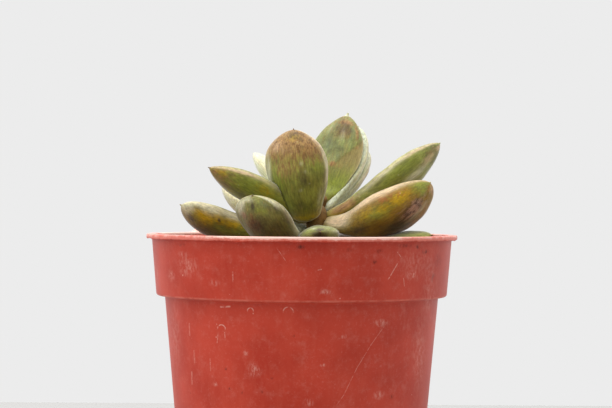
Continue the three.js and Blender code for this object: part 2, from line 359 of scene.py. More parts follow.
def creased(leaf, t, bearing):
    """How far each point lies past a leaf's crease, as a share of half its width, and how flat it is there.

    The crease starts and ends at a share along the leaf and a place across it, and is straight between.
    """
    if "crease" not in leaf:
        return np.full_like(t, -1.0), np.zeros_like(t)
    (t0, a0), (t1, a1) = leaf["crease"]
    line = np.clip(a0 + (a1 - a0) * (t - t0) / (t1 - t0), -0.98, 0.6)
    past = line - np.sin(bearing)
    fades = ease(t, 0.1, 0.25) * ease(-t, -0.84, -0.74) * ease(np.cos(bearing), -0.02, 0.02)
    return np.where(np.cos(bearing) > 0, past, -1.0), fades * ease(past, 0, 0.12)


def leaf_grid(leaf, seed, rows=ROWS, columns=COLUMNS):
    """Grid of a leaf's points, with its shares along the leaf and its bearings round the section.

    A point is the midline, plus across times half width times the sine of the bearing, plus out times the
    thickness times its cosine, plus a little for the keel and the unevenness. Past a crease the rounded
    section gives way to a straight line from the crease to the margin.
    """
    t = (1 - np.cos(np.linspace(0, math.pi, rows))) / 2
    t, bearing = np.meshgrid(t, bearings(columns), indexing="ij")
    place, along, across, out = midline(leaf, t)
    width, above, below = half_sizes(leaf, t)
    thick = np.where(np.cos(bearing) > 0, above, below)
    past, flat = creased(leaf, t, bearing)
    line = np.clip(past + np.sin(bearing), -0.98, 0.98)
    straight = np.sqrt(1 - line**2) * (1 + np.sin(bearing)) / (1 + line)
    round_height = np.cos(bearing)
    height = round_height + 0.9 * flat * (np.minimum(straight, round_height) - round_height)
    section = across * (width * np.sin(bearing))[..., None] + out * (thick * height)[..., None]
    keel = leaf["keel"] * bell(np.cos(bearing), -1, 0.12) * bell(t, 0.8, 0.16)
    uneven = 0.02 * thick * waves(place + section, 8, seed) * ease(t, 0.03, 0.2) * ease(-t, -0.97, -0.85)
    return place + section - out * keel[..., None] + section * (uneven / (thick + 1.5))[..., None], t, bearing


forms = {name: leaf_grid(leaf, 100 + i) for i, (name, leaf) in enumerate(LEAVES.items())}
print("Each leaf has a grid of", ROWS, "by", COLUMNS, "points")

# %% [markdown]
# In the bud the leaves press on each other while they are soft, and each keeps the flats and creases that
# its neighbours left. The same thing is done here: wherever a leaf's skin lies inside a neighbour, it is
# drawn back towards the leaf's own midline until it only just clears the neighbour. Halving the step ten
# times finds that place well enough.

# %% Press the leaves against each other
PRESS_GAP = 0.12


def inside(points, leaf):
    """How far out points lie in a leaf's section: below one is inside it, and above one outside.

    Each point is measured from the nearest place on the midline: its distance across over the half width,
    and its distance out over the thickness, as the two sides of a right angle.
    """
    t = np.linspace(0, 1, 140)
    place, _, across, out = midline(leaf, t)
    width, above, below = half_sizes(leaf, t)
    nearest = ((points[:, None, :] - place[None]) ** 2).sum(axis=-1).argmin(axis=1)
    away = points - place[nearest]
    sideways = (away * across[nearest]).sum(axis=1)
    outward = (away * out[nearest]).sum(axis=1)
    thick = np.where(outward > 0, above[nearest], below[nearest]) + PRESS_GAP
    return np.hypot(sideways / (width[nearest] + PRESS_GAP), outward / thick)


def pressed(points, middles, neighbour, box):
    """Points drawn back towards their midline places until they lie outside the neighbour."""
    low, high = box
    near = np.flatnonzero(((points > low) & (points < high)).all(axis=1))
    near = near[inside(points[near], neighbour) < 1] if len(near) else near
    if len(near) == 0:
        return 0
    clear, held = np.zeros(len(near)), np.ones(len(near))
    for _ in range(10):
        half = (clear + held) / 2
        tried = middles[near] + (points[near] - middles[near]) * half[:, None]
        free = inside(tried, neighbour) > 1
        clear, held = np.where(free, half, clear), np.where(free, held, half)
    points[near] = middles[near] + (points[near] - middles[near]) * clear[:, None]
    return len(near)


moved = 0
names = list(LEAVES)
for i, name in enumerate(names):
    grid, t, _ = forms[name]
    points, middles = grid.reshape(-1, 3), midline(LEAVES[name], t)[0].reshape(-1, 3)
    for earlier in names[:i]:
        other = forms[earlier][0].reshape(-1, 3)
        moved += pressed(points, middles, LEAVES[earlier], (other.min(axis=0) - 0.2, other.max(axis=0) + 0.2))
print(moved, "points were drawn back from a neighbour")

# %% [markdown]
# The colours of a leaf don't lie evenly. Its tip bronzes in the sun, its margins are pale and carry a painted
# rim light, its powder rubs off where it was touched, and an old wound heals to a brown scar. Each such
# change
# gets its own mask: a number from nought to one at every point. The masks of this first table follow the
# leaf's form.

# %% Looks that follow the form
KINDS = ["ochre", "grey", "bronze", "gold", "rust", "green", "dark", "scar", "pale", "pink"]
# The rim column sets how strong the painted rim light is: a pale band along the margins for light glancing
# off them.
LOOKS = {  # ochre and grey over all, bronze at the tip and the share where it starts, powder, rim, dark point
    "leaf_front_low": (0.05, 0.30, 0.10, 0.90, 0.00, 0.10, 0.8),
    "leaf_left_front": (0.20, 0.30, 0.10, 0.92, 0.06, 0.45, 0.7),
    "leaf_right_fat": (0.75, 0.00, 0.15, 0.95, 0.04, 0.50, 0.0),
    "leaf_right_low": (0.10, 0.30, 0.10, 0.90, 0.00, 0.10, 0.3),
    "leaf_left_low": (0.50, 0.00, 0.15, 0.85, 0.05, 0.60, 0.5),
    "leaf_front_upright": (0.15, 0.05, 0.85, 0.76, 0.04, 0.90, 1.0),
    "leaf_right_long": (0.05, 0.15, 0.20, 0.95, 0.06, 0.60, 0.0),
    "leaf_left_raised": (0.10, 0.05, 0.50, 0.86, 0.04, 0.60, 1.0),
    "leaf_back_tallest": (0.20, 0.60, 0.35, 0.84, 0.00, 0.70, 0.0),
    # The four back leaves below have their powder set high: partly powder, partly painted glow of the light
    # that shines through them from behind.
    "leaf_back_left_raised": (0.00, 0.20, 0.00, 0.90, 1.00, 0.60, 0.0),
    "leaf_back_left_low": (0.00, 0.20, 0.05, 0.90, 0.90, 0.80, 0.3),
    "leaf_back_right_inner": (0.00, 0.30, 0.10, 0.90, 0.85, 0.70, 0.3),
    "leaf_back_right_outer": (0.00, 0.30, 0.10, 0.90, 0.65, 0.80, 0.3),
}
USUAL_LOOK = (0.30, 0.10, 0.30, 0.85, 0.08, 0.40, 0.8)
print(len(KINDS), "kinds of marks:", ", ".join(KINDS))

# %% [markdown]
# The other masks are marks given one by one: so far along the leaf, at such a bearing round it, so long and
# so wide. A bearing of 0 degrees is the middle of the upper face, 90 and 270 are the margins, and 180 is the
# keel below. A width of 400 goes all the way round.

# %% Marks given one by one
MARKS = {  # kind: share along, bearing in degrees, length as a share, width in degrees, strength
    "leaf_front_upright": {
        "bronze": [(0.64, 188, 0.12, 30, 0.6), (0.80, 160, 0.08, 60, 0.7)],
        "gold": [(0.92, 169, 0.04, 26, 0.5), (0.09, 170, 0.05, 90, 0.6)],
        "dark": [(0.90, 150, 0.03, 7, 0.6), (0.88, 122, 0.03, 10, 0.5), (0.93, 164, 0.02, 5, 0.6),
                 (0.52, 158, 0.12, 12, 0.6), (0.30, 176, 0.15, 24, 0.35), (0.52, 182, 0.10, 8, 0.35),
                 (0.94, 168, 0.05, 40, 0.6)],
        "pink": [(0.82, 216, 0.07, 14, 0.6), (0.86, 106, 0.08, 9, 0.5), (0.80, 195, 0.06, 20, 0.3)],
        "pale": [(0.56, 234, 0.22, 10, 0.8), (0.67, 160, 0.03, 4, 0.5), (0.59, 154, 0.03, 4, 0.45),
                 (0.41, 165, 0.025, 5, 0.6), (0.30, 118, 0.12, 10, 0.5), (0.60, 100, 0.22, 6, 0.9)],
        "green": [(0.62, 125, 0.12, 16, 0.9), (0.50, 212, 0.16, 18, 1.0), (0.28, 205, 0.14, 18, 0.7)],
    },
    "leaf_back_tallest": {
        "bronze": [(0.88, 345, 0.04, 30, 1.0), (0.80, 308, 0.07, 10, 0.8), (0.88, 10, 0.04, 14, 0.7),
                   (0.65, 304, 0.015, 5, 0.9), (0.44, 354, 0.03, 9, 0.9), (0.43, 338, 0.03, 8, 0.4)],
        "pale": [(0.97, 350, 0.02, 200, 0.9), (0.74, 350, 0.08, 8, 0.35), (0.80, 32, 0.08, 12, 0.3)],
        "grey": [(0.62, 18, 0.14, 22, 0.9), (0.76, 340, 0.07, 14, 0.6)],
        # The ochre, and the broad dark mark four fifths along the upper face, are painted shade near the
        # incurved tip.
        "ochre": [(0.78, 350, 0.10, 34, 0.6)],
        "dark": [(0.60, 349, 0.05, 12, 0.5), (0.56, 8, 0.07, 14, 0.5), (0.80, 350, 0.11, 36, 0.7),
                 (0.70, 15, 0.14, 24, 0.5), (0.72, 322, 0.08, 14, 0.3)],
        "green": [(0.26, 318, 0.20, 60, 0.9)],
    },
    "leaf_back_right_inner": {"pale": [(0.6, 262, 0.4, 26, 0.6)], "green": [(0.4, 240, 0.2, 20, 0.5)]},
    "leaf_back_right_outer": {"pale": [(0.6, 285, 0.4, 24, 0.6)], "pink": [(0.60, 261, 0.20, 7, 0.9)]},
    # The pale mark round this leaf is painted glow of the light that shines through it from behind.
    "leaf_back_left_raised": {"pale": [(0.80, 0, 0.5, 200, 1.0)]},
    # The pale mark all round this leaf is painted glow of the light that shines through it from behind; the
    # ochre and dark at its root are painted shade deep among the leaf roots.
    "leaf_back_left_low": {
        "pale": [(0.80, 130, 0.5, 400, 1.0)], "ochre": [(0.08, 0, 0.16, 400, 1.0)],
        "dark": [(0.08, 0, 0.14, 400, 0.9)],
    },
    "leaf_back_raised": {"ochre": [(0.10, 0, 0.12, 400, 0.9)], "dark": [(0.04, 0, 0.10, 400, 0.6)]},
    # The dark marks on these two low leaves, with ochre on the second, are painted shade where they lie under
    # other leaves.
    "leaf_back_low_right": {"dark": [(0.50, 340, 0.60, 400, 1.0)]},
    "leaf_right_lowest": {"ochre": [(0.15, 0, 0.30, 400, 1.0)], "dark": [(0.15, 0, 0.30, 400, 0.9)]},
    "leaf_right_long": {
        "pale": [(0.60, 262, 0.34, 11, 0.55), (0.70, 190, 0.14, 12, 0.8), (0.93, 220, 0.06, 40, 0.25)],
        "green": [(0.64, 230, 0.20, 24, 1.0), (0.965, 238, 0.02, 16, 0.7)],
        "dark": [(0.60, 215, 0.12, 10, 0.4)],
        "bronze": [(0.16, 252, 0.10, 34, 1.0), (0.90, 215, 0.07, 22, 0.4)],
        "pink": [(0.96, 192, 0.03, 24, 0.8), (0.86, 200, 0.08, 16, 0.7), (0.82, 262, 0.14, 10, 0.8)],
        "ochre": [(0.10, 225, 0.08, 90, 0.8), (0.16, 254, 0.08, 40, 0.9)],
    },
    "leaf_right_fat": {
        # The pink and pale marks at the neck, near the root, are partly the leaf's own colour and partly
        # painted glow of light from behind.
        "pink": [(0.55, 269, 0.42, 13, 1.0), (0.15, 262, 0.13, 40, 1.0), (0.97, 150, 0.03, 30, 0.5)],
        "pale": [(0.14, 258, 0.13, 50, 1.0), (0.93, 205, 0.06, 40, 0.2), (0.80, 160, 0.12, 10, 0.5)],
        "rust": [(0.66, 247, 0.06, 14, 1.0), (0.80, 238, 0.05, 11, 1.0), (0.73, 244, 0.04, 10, 0.8),
                 (0.965, 160, 0.02, 40, 0.8)],
        "gold": [(0.78, 230, 0.09, 17, 0.9), (0.47, 232, 0.12, 17, 0.5), (0.62, 226, 0.08, 13, 0.7)],
        "green": [(0.95, 224, 0.07, 34, 1.0), (0.94, 196, 0.05, 18, 0.8), (0.58, 222, 0.14, 18, 0.8)],
        "dark": [(0.66, 170, 0.18, 24, 1.0), (0.36, 200, 0.12, 18, 0.7), (0.85, 191, 0.025, 8, 1.0)],
        "scar": [(0.80, 182, 0.10, 19, 1.0)],
    },
    "leaf_left_raised": {
        "gold": [(0.90, 130, 0.05, 24, 0.6), (0.50, 126, 0.11, 30, 0.5)],
        "pink": [(0.76, 96, 0.18, 9, 0.9)],
        "green": [(0.70, 140, 0.16, 34, 1.0), (0.54, 122, 0.16, 40, 1.0)],
        "bronze": [(0.94, 142, 0.04, 40, 0.9), (0.82, 178, 0.06, 14, 0.5)],
        "dark": [(0.81, 178, 0.08, 10, 0.4), (0.62, 176, 0.15, 14, 0.4), (0.955, 142, 0.015, 12, 0.6)],
    },
    "leaf_left_low": {
        # The pale marks along the upper margin are partly the leaf's own colour and partly painted light from
        # above.
        "pale": [(0.84, 96, 0.18, 28, 1.0), (0.95, 118, 0.06, 70, 1.0), (0.62, 92, 0.14, 18, 1.0)],
        "gold": [(0.80, 138, 0.09, 22, 1.0), (0.60, 118, 0.08, 18, 1.0), (0.70, 124, 0.08, 16, 0.9)],
        "dark": [(0.89, 172, 0.05, 16, 0.8), (0.695, 128, 0.014, 6, 1.0), (0.76, 180, 0.14, 16, 0.4)],
        "bronze": [(0.60, 110, 0.05, 12, 0.6)],
        "ochre": [(0.58, 135, 0.10, 22, 0.6)],
        "green": [(0.66, 150, 0.10, 20, 0.9), (0.52, 130, 0.12, 40, 0.8)],
    },
    "leaf_left_front": {
        "pale": [(0.92, 224, 0.08, 13, 0.95), (0.93, 104, 0.08, 12, 1.0), (0.84, 93, 0.12, 8, 0.5),
                 (0.93, 232, 0.06, 20, 0.8), (0.97, 200, 0.02, 40, 0.6)],
        "green": [(0.72, 118, 0.14, 24, 0.6), (0.90, 160, 0.05, 24, 0.7)],
        "rust": [(0.82, 184, 0.06, 14, 0.2)],
        "grey": [(0.92, 140, 0.04, 16, 0.8), (0.90, 218, 0.07, 20, 0.6)],
        "dark": [(0.93, 176, 0.035, 8, 0.9), (0.87, 116, 0.03, 10, 0.8), (0.80, 176, 0.08, 26, 0.8),
                 (0.72, 150, 0.10, 40, 0.5), (0.72, 104, 0.12, 16, 0.6)],
        "bronze": [(0.86, 208, 0.04, 12, 0.7), (0.80, 186, 0.08, 18, 0.7)],
    },
    "leaf_front_low": {
        "pale": [(0.85, 335, 0.08, 14, 0.6), (0.80, 80, 0.08, 14, 0.6)],
        "green": [(0.84, 320, 0.10, 40, 0.6)],
        "dark": [(0.965, 355, 0.05, 60, 1.0), (0.97, 200, 0.05, 120, 1.0), (0.72, 310, 0.12, 50, 0.5)],
        "bronze": [(0.955, 350, 0.02, 20, 0.9)],
    },
    # Its broad dark mark is painted shade under the fat leaf above it.
    "leaf_right_low": {"green": [(0.70, 10, 0.2, 40, 0.4)], "dark": [(0.6, 60, 0.4, 400, 0.45)]},
}
print(sum(len(places) for marks in MARKS.values() for places in marks.values()), "marks placed by hand")

# %% [markdown]
# A mask could be painted on the mesh by hand, but a formula keeps it the same when a leaf's shape changes. A
# mark is strongest at its middle and fades both along the leaf and round it, and noise tears its border
# later, in the finish.

# %% Masks of a leaf
def turn_from(bearing, middle):
    """The smallest turn from a middle bearing to each bearing, all in radians."""
    return np.angle(np.exp(1j * (bearing - middle)))


def leaf_masks(name):
    """The masks of one leaf, each a grid of numbers from nought to one.

    A mark is a bell along the leaf times a bell round it, and the strongest of a kind's marks counts.
    """
    leaf = LEAVES[name]
    _, t, bearing = forms[name]
    ochre, grey, bronze, start, powder, rim_light, point = LOOKS.get(name, USUAL_LOOK)
    face = np.cos(bearing)
    masks = {kind: np.zeros_like(t) for kind in KINDS}
    for kind, places in MARKS.get(name, {}).items():
        for along, round_it, length, width, strength in places:
            aside = np.degrees(turn_from(bearing, math.radians(round_it)))
            spread = bell(t, along, length) * bell(aside, 0, width)
            masks[kind] = np.maximum(masks[kind], strength * spread)
    masks["ochre"] = np.maximum(masks["ochre"], ochre)
    masks["grey"] = np.maximum(masks["grey"], grey)
    masks["bronze"] = np.maximum(masks["bronze"], bronze * ease(t, start - 0.24, start + 0.1))
    masks["powder"] = powder * (1 + 0.3 * ease(face, -0.1, 0.7) - 0.3 * ease(-face, 0.2, 0.9))
    # Painted rim light: a pale band along both margins, fading out towards the root.
    masks["rim_light"] = rim_light * bell(face, 0, 0.24) * ease(t, 0.15, 0.5)
    masks["point"] = point * ease(t, 0.978, 0.99)
    masks["young"] = ease(-t, -0.24, 0.0)
    masks["facet"] = creased(leaf, t, bearing)[1] * ease(t, 0.25, 0.6)
    return {kind: closed_values(np.clip(mask, 0, 1)) for kind, mask in masks.items()}


print("A leaf has the masks", ", ".join(leaf_masks("leaf_front_low")))

# %% [markdown]
# Each leaf's mesh carries its masks as named numbers at its points, where the finish reads them. It also
# carries each point's place in its own leaf, so that streaks can follow the leaf's length wherever it points.

# %% Make the leaves
def leaf_places(name):
    """Each point's place in its own leaf, in millimetres: across, out of the upper face, and along it."""
    leaf = LEAVES[name]
    grid, t, _ = forms[name]
    place, _, across, out = midline(leaf, t)
    away = grid - place
    own = [(away * across).sum(axis=-1), (away * out).sum(axis=-1), t * leaf["length"]]
    return np.stack([closed_values(part) for part in own], axis=1)


leaf_pieces = []
for name in names:
    points, faces = closed_form(forms[name][0])
    values = {**leaf_masks(name), "leaf_place": leaf_places(name)}
    leaf_pieces.append(make_piece(name + "_fine", points, faces, values, node=name, slot="leaf"))
print(len(leaf_pieces), "leaves made, with", sum(len(p.data.polygons) for p in leaf_pieces), "faces")

# %% [markdown]
# The stem is a short fleshy post. Old leaves left low scars round it, each turned on from the last as leaves
# grow. It could be a plain cylinder, since little of it shows, but a profile turned about its own upright
# line takes the scars as shallow dents and closes with a dome.

# %% The stem's form
LEAF_TURN = 137.5  # degrees from one leaf to the next in the order that they grow
STRAIGHT = 0.86  # share of the stem's rows below its dome
ROUND_FOOT = 0.03  # share of them over which its foot rounds off
SCARS = {"count": 22, "lowest": 64, "apart": 0.95, "half_turn": 0.5, "half_height": 0.8, "depth": 0.09}


def stem_grid(rows=110, columns=72):
    """Grid of the stem: its radius at each height, less a dent at each of a spiral of leaf scars.

    A scar is a bell round the stem times a bell up it, and each is turned 137.5 degrees from the last.
    """
    shoulder = LIP + STEM["crown"] - STEM["dome"]
    share = np.linspace(0, 1, rows)
    climb = np.clip((share - STRAIGHT) / (1 - STRAIGHT), 0, 1) * math.pi / 2
    post_height = STEM["foot"] + (shoulder - STEM["foot"]) * share / STRAIGHT
    height = np.where(share < STRAIGHT, post_height, shoulder + STEM["dome"] * np.sin(climb))
    radius = STEM["radius"] * np.cos(climb) * np.sqrt(np.clip(share / ROUND_FOOT, 0, 1))
    height, bearing = np.meshgrid(height, bearings(columns), indexing="ij")
    dent = np.zeros_like(height)
    for scar in range(SCARS["count"]):
        aside = turn_from(bearing, math.radians(LEAF_TURN * scar))
        up = SCARS["lowest"] + SCARS["apart"] * scar
        dent += bell(aside, 0, SCARS["half_turn"]) * bell(height, up, SCARS["half_height"])
    radius = radius[:, None] * (1 - SCARS["depth"] * np.minimum(dent, 1))
    x = STEM["x"] + radius * np.cos(bearing)
    y = STEM["y"] + radius * np.sin(bearing)
    return np.stack([x, y, height], axis=-1)


print("The stem has", SCARS["count"], "scars, from", SCARS["lowest"], "mm up")

# %% [markdown]
# At its top the youngest leaves are still one with the stem. They come from the same formula as the large
# leaves, each a little smaller than the last, and all of it is joined into one piece.

# %% Make the stem
SPROUT = {"rise": (66, 84), "depth": 1.2, "keel": 0.1}
SPROUT_SIZES = {"length": 7, "width": 4, "thickness": 2.8}
SPROUTS = {"count": 3, "heading": 125, "shrink": 0.16, "sunk": 2}


def joined(forms_to_join):
    """Several closed forms as one: their points in one list, and each face's numbers moved up to suit."""
    points, faces = np.zeros((0, 3)), []
    for more_points, more_faces in forms_to_join:
        faces += [[corner + len(points) for corner in face] for face in more_faces]
        points = np.vstack([points, more_points])
    return points, faces


stem_parts = [closed_form(stem_grid())]
for i in range(SPROUTS["count"]):
    heading = SPROUTS["heading"] + LEAF_TURN * i
    size = 1 - SPROUTS["shrink"] * i
    sprout = {**USUAL_LEAF, **SPROUT, **{name: full * size for name, full in SPROUT_SIZES.items()}}
    sprout |= {"heading": heading, "seat": heading, "root": STEM["crown"] - SPROUTS["sunk"]}
    stem_parts.append(closed_form(leaf_grid(sprout, 300 + i, rows=48, columns=40)[0]))
stem_piece = make_piece("stem_fine", *joined(stem_parts), node="stem", slot="stem")
print("The stem has", len(stem_piece.data.polygons), "faces")

# %% [markdown]
# The pot is one moulding, a millimetre thick: a foot ring, a body that widens upwards, a ledge, a deeper band
# and a thin flat lip. A profile turned about the pot's middle gives all of it, and each corner of the
# profile is rounded a little, because moulded corners are never sharp.

# %% The pot's profile
def rounded(corners, bend=5):
    """A profile whose corners are rounded: each corner is radius, height and how far the rounding reaches.

    Near a corner the profile is a curve from the point before it to the point after it, pulled towards the
    corner: before (1-s)^2 + corner 2s(1-s) + after s^2.
    """
    places = np.array([corner[:2] for corner in corners], float)
    line = [places[0]]
    for i in range(1, len(corners) - 1):
        reach = corners[i][2]
        into = places[i - 1] - places[i]
        away = places[i + 1] - places[i]
        before = places[i] + into / np.linalg.norm(into) * reach
        after = places[i] + away / np.linalg.norm(away) * reach
        s = np.linspace(0, 1, bend)[:, None]
        line.extend(before * (1 - s) ** 2 + places[i] * 2 * s * (1 - s) + after * s**2)
    line.append(places[-1])
    return np.array(line)


STEP = LIP - POT["band_height"]
LIP_FOOT = LIP - POT["lip_thickness"]
FLOOR = POT["foot_rise"] + POT["wall"]
pot_profile = rounded([
    (0, POT["foot_rise"], 0),
    (POT["body_foot"] - POT["foot_width"] - POT["corner"], POT["foot_rise"], 0.25),
    (POT["body_foot"] - POT["foot_width"], 0, 0.3),
    (POT["body_foot"], 0, 0.7),
    (POT["body_top"] - 0.05, STEP - 0.4, 0.3),
    (POT["body_top"] + 0.5, STEP, 0.3),
    (POT["band_foot"], STEP, 0.7),
    (POT["band_top"], LIP_FOOT, 0.3),
    (POT["lip_radius"], LIP_FOOT, 0.25),
    (POT["lip_radius"], LIP, 0.42),
    (POT["band_top"] - POT["wall"], LIP, 0.4),
    (POT["band_foot"] - POT["wall"], STEP + POT["wall"], 0.4),
    (POT["body_top"] - POT["wall"], STEP + POT["wall"], 0.4),
    (POT["body_foot"] - POT["wall"], FLOOR, 0.8),
    (0, FLOOR, 0),
])
print("The pot's profile has", len(pot_profile), "points")

# %% [markdown]
# Where the two halves of the mould met, a thin flash of plastic was squeezed out under the lip, and it is
# ragged. So the turned profile is moved a little: waves let the lip's lower outer edge hang down and draw
# it in, one curl of flash stands up at the back left, and the wall is slightly out of round.

# %% Turn the pot
FLASH_FROM, FLASH_FULL = 44.3, 44.9  # radii between which the flash sets in
EDGE_FROM, EDGE_FULL = 76.2, 76.7  # heights between which the lip's edge sets in
HANG_FULL, HANG_NONE = 76.8, 77.4  # heights between which the hanging fades out
CURL = {"bearing": 137.2, "half_turn": 0.022, "height": 1.1}
OUT_OF_ROUND = 0.12


def pot_grid(columns=288):
    """Grid of the pot: the profile's radius and height at each bearing, with the lip's ragged flash.

    The lip's lower outer edge is moved down and inwards by sums of waves that run round the lip.
    """
    radius, bearing = np.meshgrid(pot_profile[:, 0], bearings(columns), indexing="ij")
    height = np.repeat(pot_profile[:, 1][:, None], columns, axis=1)
    ring = POT["lip_radius"] * np.stack([np.cos(bearing), np.sin(bearing), 0 * bearing], axis=-1)
    edge = ease(radius, FLASH_FROM, FLASH_FULL) * ease(height, EDGE_FROM, EDGE_FULL)
    hang = 0.5 + 0.5 * waves(ring, 7, 21) + 0.3 * waves(ring, 2.2, 22)
    nick = 0.06 + 0.06 * waves(ring, 5, 23) + 0.04 * waves(ring, 1.6, 24)
    height = height - edge * ease(-height, -HANG_NONE, -HANG_FULL) * np.clip(0.22 * hang, 0, 0.5)
    radius = radius - edge * np.clip(nick, 0, 0.3)
    curl = bell(turn_from(bearing, math.radians(CURL["bearing"])), 0, CURL["half_turn"])
    height = height + CURL["height"] * curl * ease(radius, 44.0, 44.4) * ease(height, 77.5, 77.8)
    upper = ease(height, 20, LIP) * ease(radius, 30, 36)
    radius = radius - OUT_OF_ROUND * (1 + waves(ring, 60, 25)) * upper
    return np.stack([radius * np.cos(bearing), radius * np.sin(bearing), height], axis=-1)


pot_piece = make_piece("pot_moulded", *closed_form(pot_grid()), node="pot", slot="pot_plastic")
print("The turned pot has", len(pot_piece.data.polygons), "faces")

# %% [markdown]
# Water drains through a hole in the middle of the floor and a ring of holes round it. The floor is one thin
# sheet, so the holes are cut by taking round posts away from it, and the cut mesh replaces the turned one.

# %% Cut the drain holes
POST_FOOT, POST_TOP = 1.5, 5.0
CRISP_CORNER = 50  # degrees past which an edge of the pot stays hard


def post(x, y, radius, low, high, columns=40):
    """Grid of an upright round post, closed by a point at each end."""
    rows = [(0, low), (radius, low), (radius, high), (0, high)]
    ways = bearings(columns)
    return np.array([[(x + r * math.cos(b), y + r * math.sin(b), z) for b in ways] for r, z in rows])


drains = [(0.0, 0.0)]
for turn in bearings(POT["drain_count"]):
    drains.append((POT["drain_circle"] * math.cos(turn), POT["drain_circle"] * math.sin(turn)))
posts = [closed_form(post(x, y, POT["drain_radius"], POST_FOOT, POST_TOP)) for x, y in drains]
cutter = make_piece("drain_cutter", *joined(posts))
cut = pot_piece.modifiers.new("drains", "BOOLEAN")
cut.operation, cut.solver, cut.object = "DIFFERENCE", "EXACT", cutter
bpy.context.view_layer.update()
drained = bpy.data.meshes.new_from_object(pot_piece.evaluated_get(bpy.context.evaluated_depsgraph_get()))
pot_piece.modifiers.clear()
pot_piece.data = drained
pot_piece.data.set_sharp_from_angle(angle=math.radians(CRISP_CORNER))
bpy.data.objects.remove(cutter)
print("The pot has", len(pot_piece.data.polygons), "faces and", len(drains), "drain holes")

# %% [markdown]
# The soil is a loose mix of peat, bark and grit. Its body is one closed form that fills the pot, and its
# upper surface is rough: a low heap round the stem, crossed waves, and two sizes of fine unevenness.

# %% The soil's surface
def soil_height(x, y):
    """Height of the soil: a heap that falls off with distance from the stem, and crossed waves."""
    away = np.hypot(x - STEM["x"], y - STEM["y"]) / SOIL["heap_reach"]
    heap = SOIL["heap"] * np.exp(-(away**2))
    lumps = np.sin(0.55 * x + 0.9 * np.sin(0.31 * y)) + np.sin(0.63 * y - 1.1 * np.sin(0.27 * x))
    return SOIL["top"] + heap + SOIL["lump"] * lumps


def soil_grid(columns=180, rings=80):
    """Grid of the soil: up its side by the pot's wall, then in over its surface, ring by ring."""
    clear = POT["wall"] + SOIL["clearance"]
    at_top = POT["band_foot"] + (POT["band_top"] - POT["band_foot"]) * (SOIL["top"] - STEP) / (LIP - STEP)
    side = [
        (0, SOIL["floor"]), (POT["body_foot"] - clear, SOIL["floor"]),
        (POT["body_top"] - clear, STEP + clear), (POT["band_foot"] - clear, STEP + clear),
    ]
    surface = [((at_top - clear) * (1 - i / rings), SOIL["top"]) for i in range(rings + 1)]
    profile = np.array(side + surface)
    radius, bearing = np.meshgrid(profile[:, 0], bearings(columns), indexing="ij")
    x, y = radius * np.cos(bearing), radius * np.sin(bearing)
    height = np.repeat(profile[:, 1][:, None], columns, axis=1)
    flat = np.stack([x, y, 0 * x], axis=-1)
    rough = 0.28 * waves(flat, 3.2, 31) + 0.2 * waves(flat, 1.3, 32)
    height[len(side):] = (soil_height(x, y) + rough)[len(side):]
    return np.stack([x, y, height], axis=-1)


print("By the stem the soil is", round(float(soil_height(STEM["x"], STEM["y"])), 1), "mm up")

# %% [markdown]
# Thousands of crumbs lie on that surface, sunk into it by about a third. A crumb is a round lump of twenty
# faces whose corners are moved a little, so that all of them together stay light.

# %% Make the soil
CRUMBS = 4200
CRUMB_LEAST, CRUMB_SPREAD = 0.35, 1.0
CRUMB_REACH = 41.0  # how far from the pot's middle a crumb may reach
PLAIN_TONE = 0.3  # of the soil between the crumbs


def crumbs(count, seed):
    """Corners and faces of many small lumps on the soil's surface.

    A lump is a twenty-faced solid, stretched by chance each way, turned by chance, and sunk by a third.
    """
    chance = np.random.default_rng(seed)
    g = (1 + math.sqrt(5)) / 2
    corners = np.array([
        (-1, g, 0), (1, g, 0), (-1, -g, 0), (1, -g, 0), (0, -1, g), (0, 1, g),
        (0, -1, -g), (0, 1, -g), (g, 0, -1), (g, 0, 1), (-g, 0, -1), (-g, 0, 1),
    ]) / math.hypot(1, g)
    lump = np.array([
        (0, 11, 5), (0, 5, 1), (0, 1, 7), (0, 7, 10), (0, 10, 11), (1, 5, 9), (5, 11, 4), (11, 10, 2),
        (10, 7, 6), (7, 1, 8), (3, 9, 4), (3, 4, 2), (3, 2, 6), (3, 6, 8), (3, 8, 9), (4, 9, 5), (2, 4, 11),
        (6, 2, 10), (8, 6, 7), (9, 8, 1),
    ])
    size = CRUMB_LEAST + CRUMB_SPREAD * chance.random(count) ** 3
    away = (CRUMB_REACH - 0.4) * np.sqrt(chance.random(count))
    bearing = chance.uniform(0, 2 * math.pi, count)
    away = np.minimum(away, CRUMB_REACH - size * 1.3)
    x, y = away * np.cos(bearing), away * np.sin(bearing)
    middle = np.stack([x, y, soil_height(x, y) + 0.3 * size], axis=1)
    stretch = chance.uniform(0.6, 1.15, (count, 1, 3)) * size[:, None, None]
    shape = corners[None] * (1 + chance.normal(0, 0.12, (count, 12, 1))) * stretch
    turns, _ = np.linalg.qr(chance.normal(size=(count, 3, 3)))
    turns *= np.sign(np.linalg.det(turns))[:, None, None]
    shape = np.einsum("nij,nkj->nki", turns, shape) + middle[:, None, :]
    faces = lump[None] + 12 * np.arange(count)[:, None, None]
    tone = np.repeat(chance.random(count), 12)
    return shape.reshape(-1, 3), faces.reshape(-1, 3), tone


soil_points, soil_faces = closed_form(soil_grid())
crumb_points, crumb_faces, crumb_tone = crumbs(CRUMBS, 41)
tone = np.concatenate([np.full(len(soil_points), PLAIN_TONE), crumb_tone])
soil_faces += (crumb_faces + len(soil_points)).tolist()
soil_points = np.vstack([soil_points, crumb_points])
soil_piece = make_piece(
    "soil_crumbly", soil_points, soil_faces, {"tone": tone}, node="soil", slot="soil", crisp=30,
)
print("The soil has", len(soil_piece.data.polygons), "faces")

# %% [markdown]
# Finishes are made of nodes. A few small helpers keep them short to write. Colours are given as they look on
# a screen, from 0 to 255, and turned into the even scale that light adds up on.

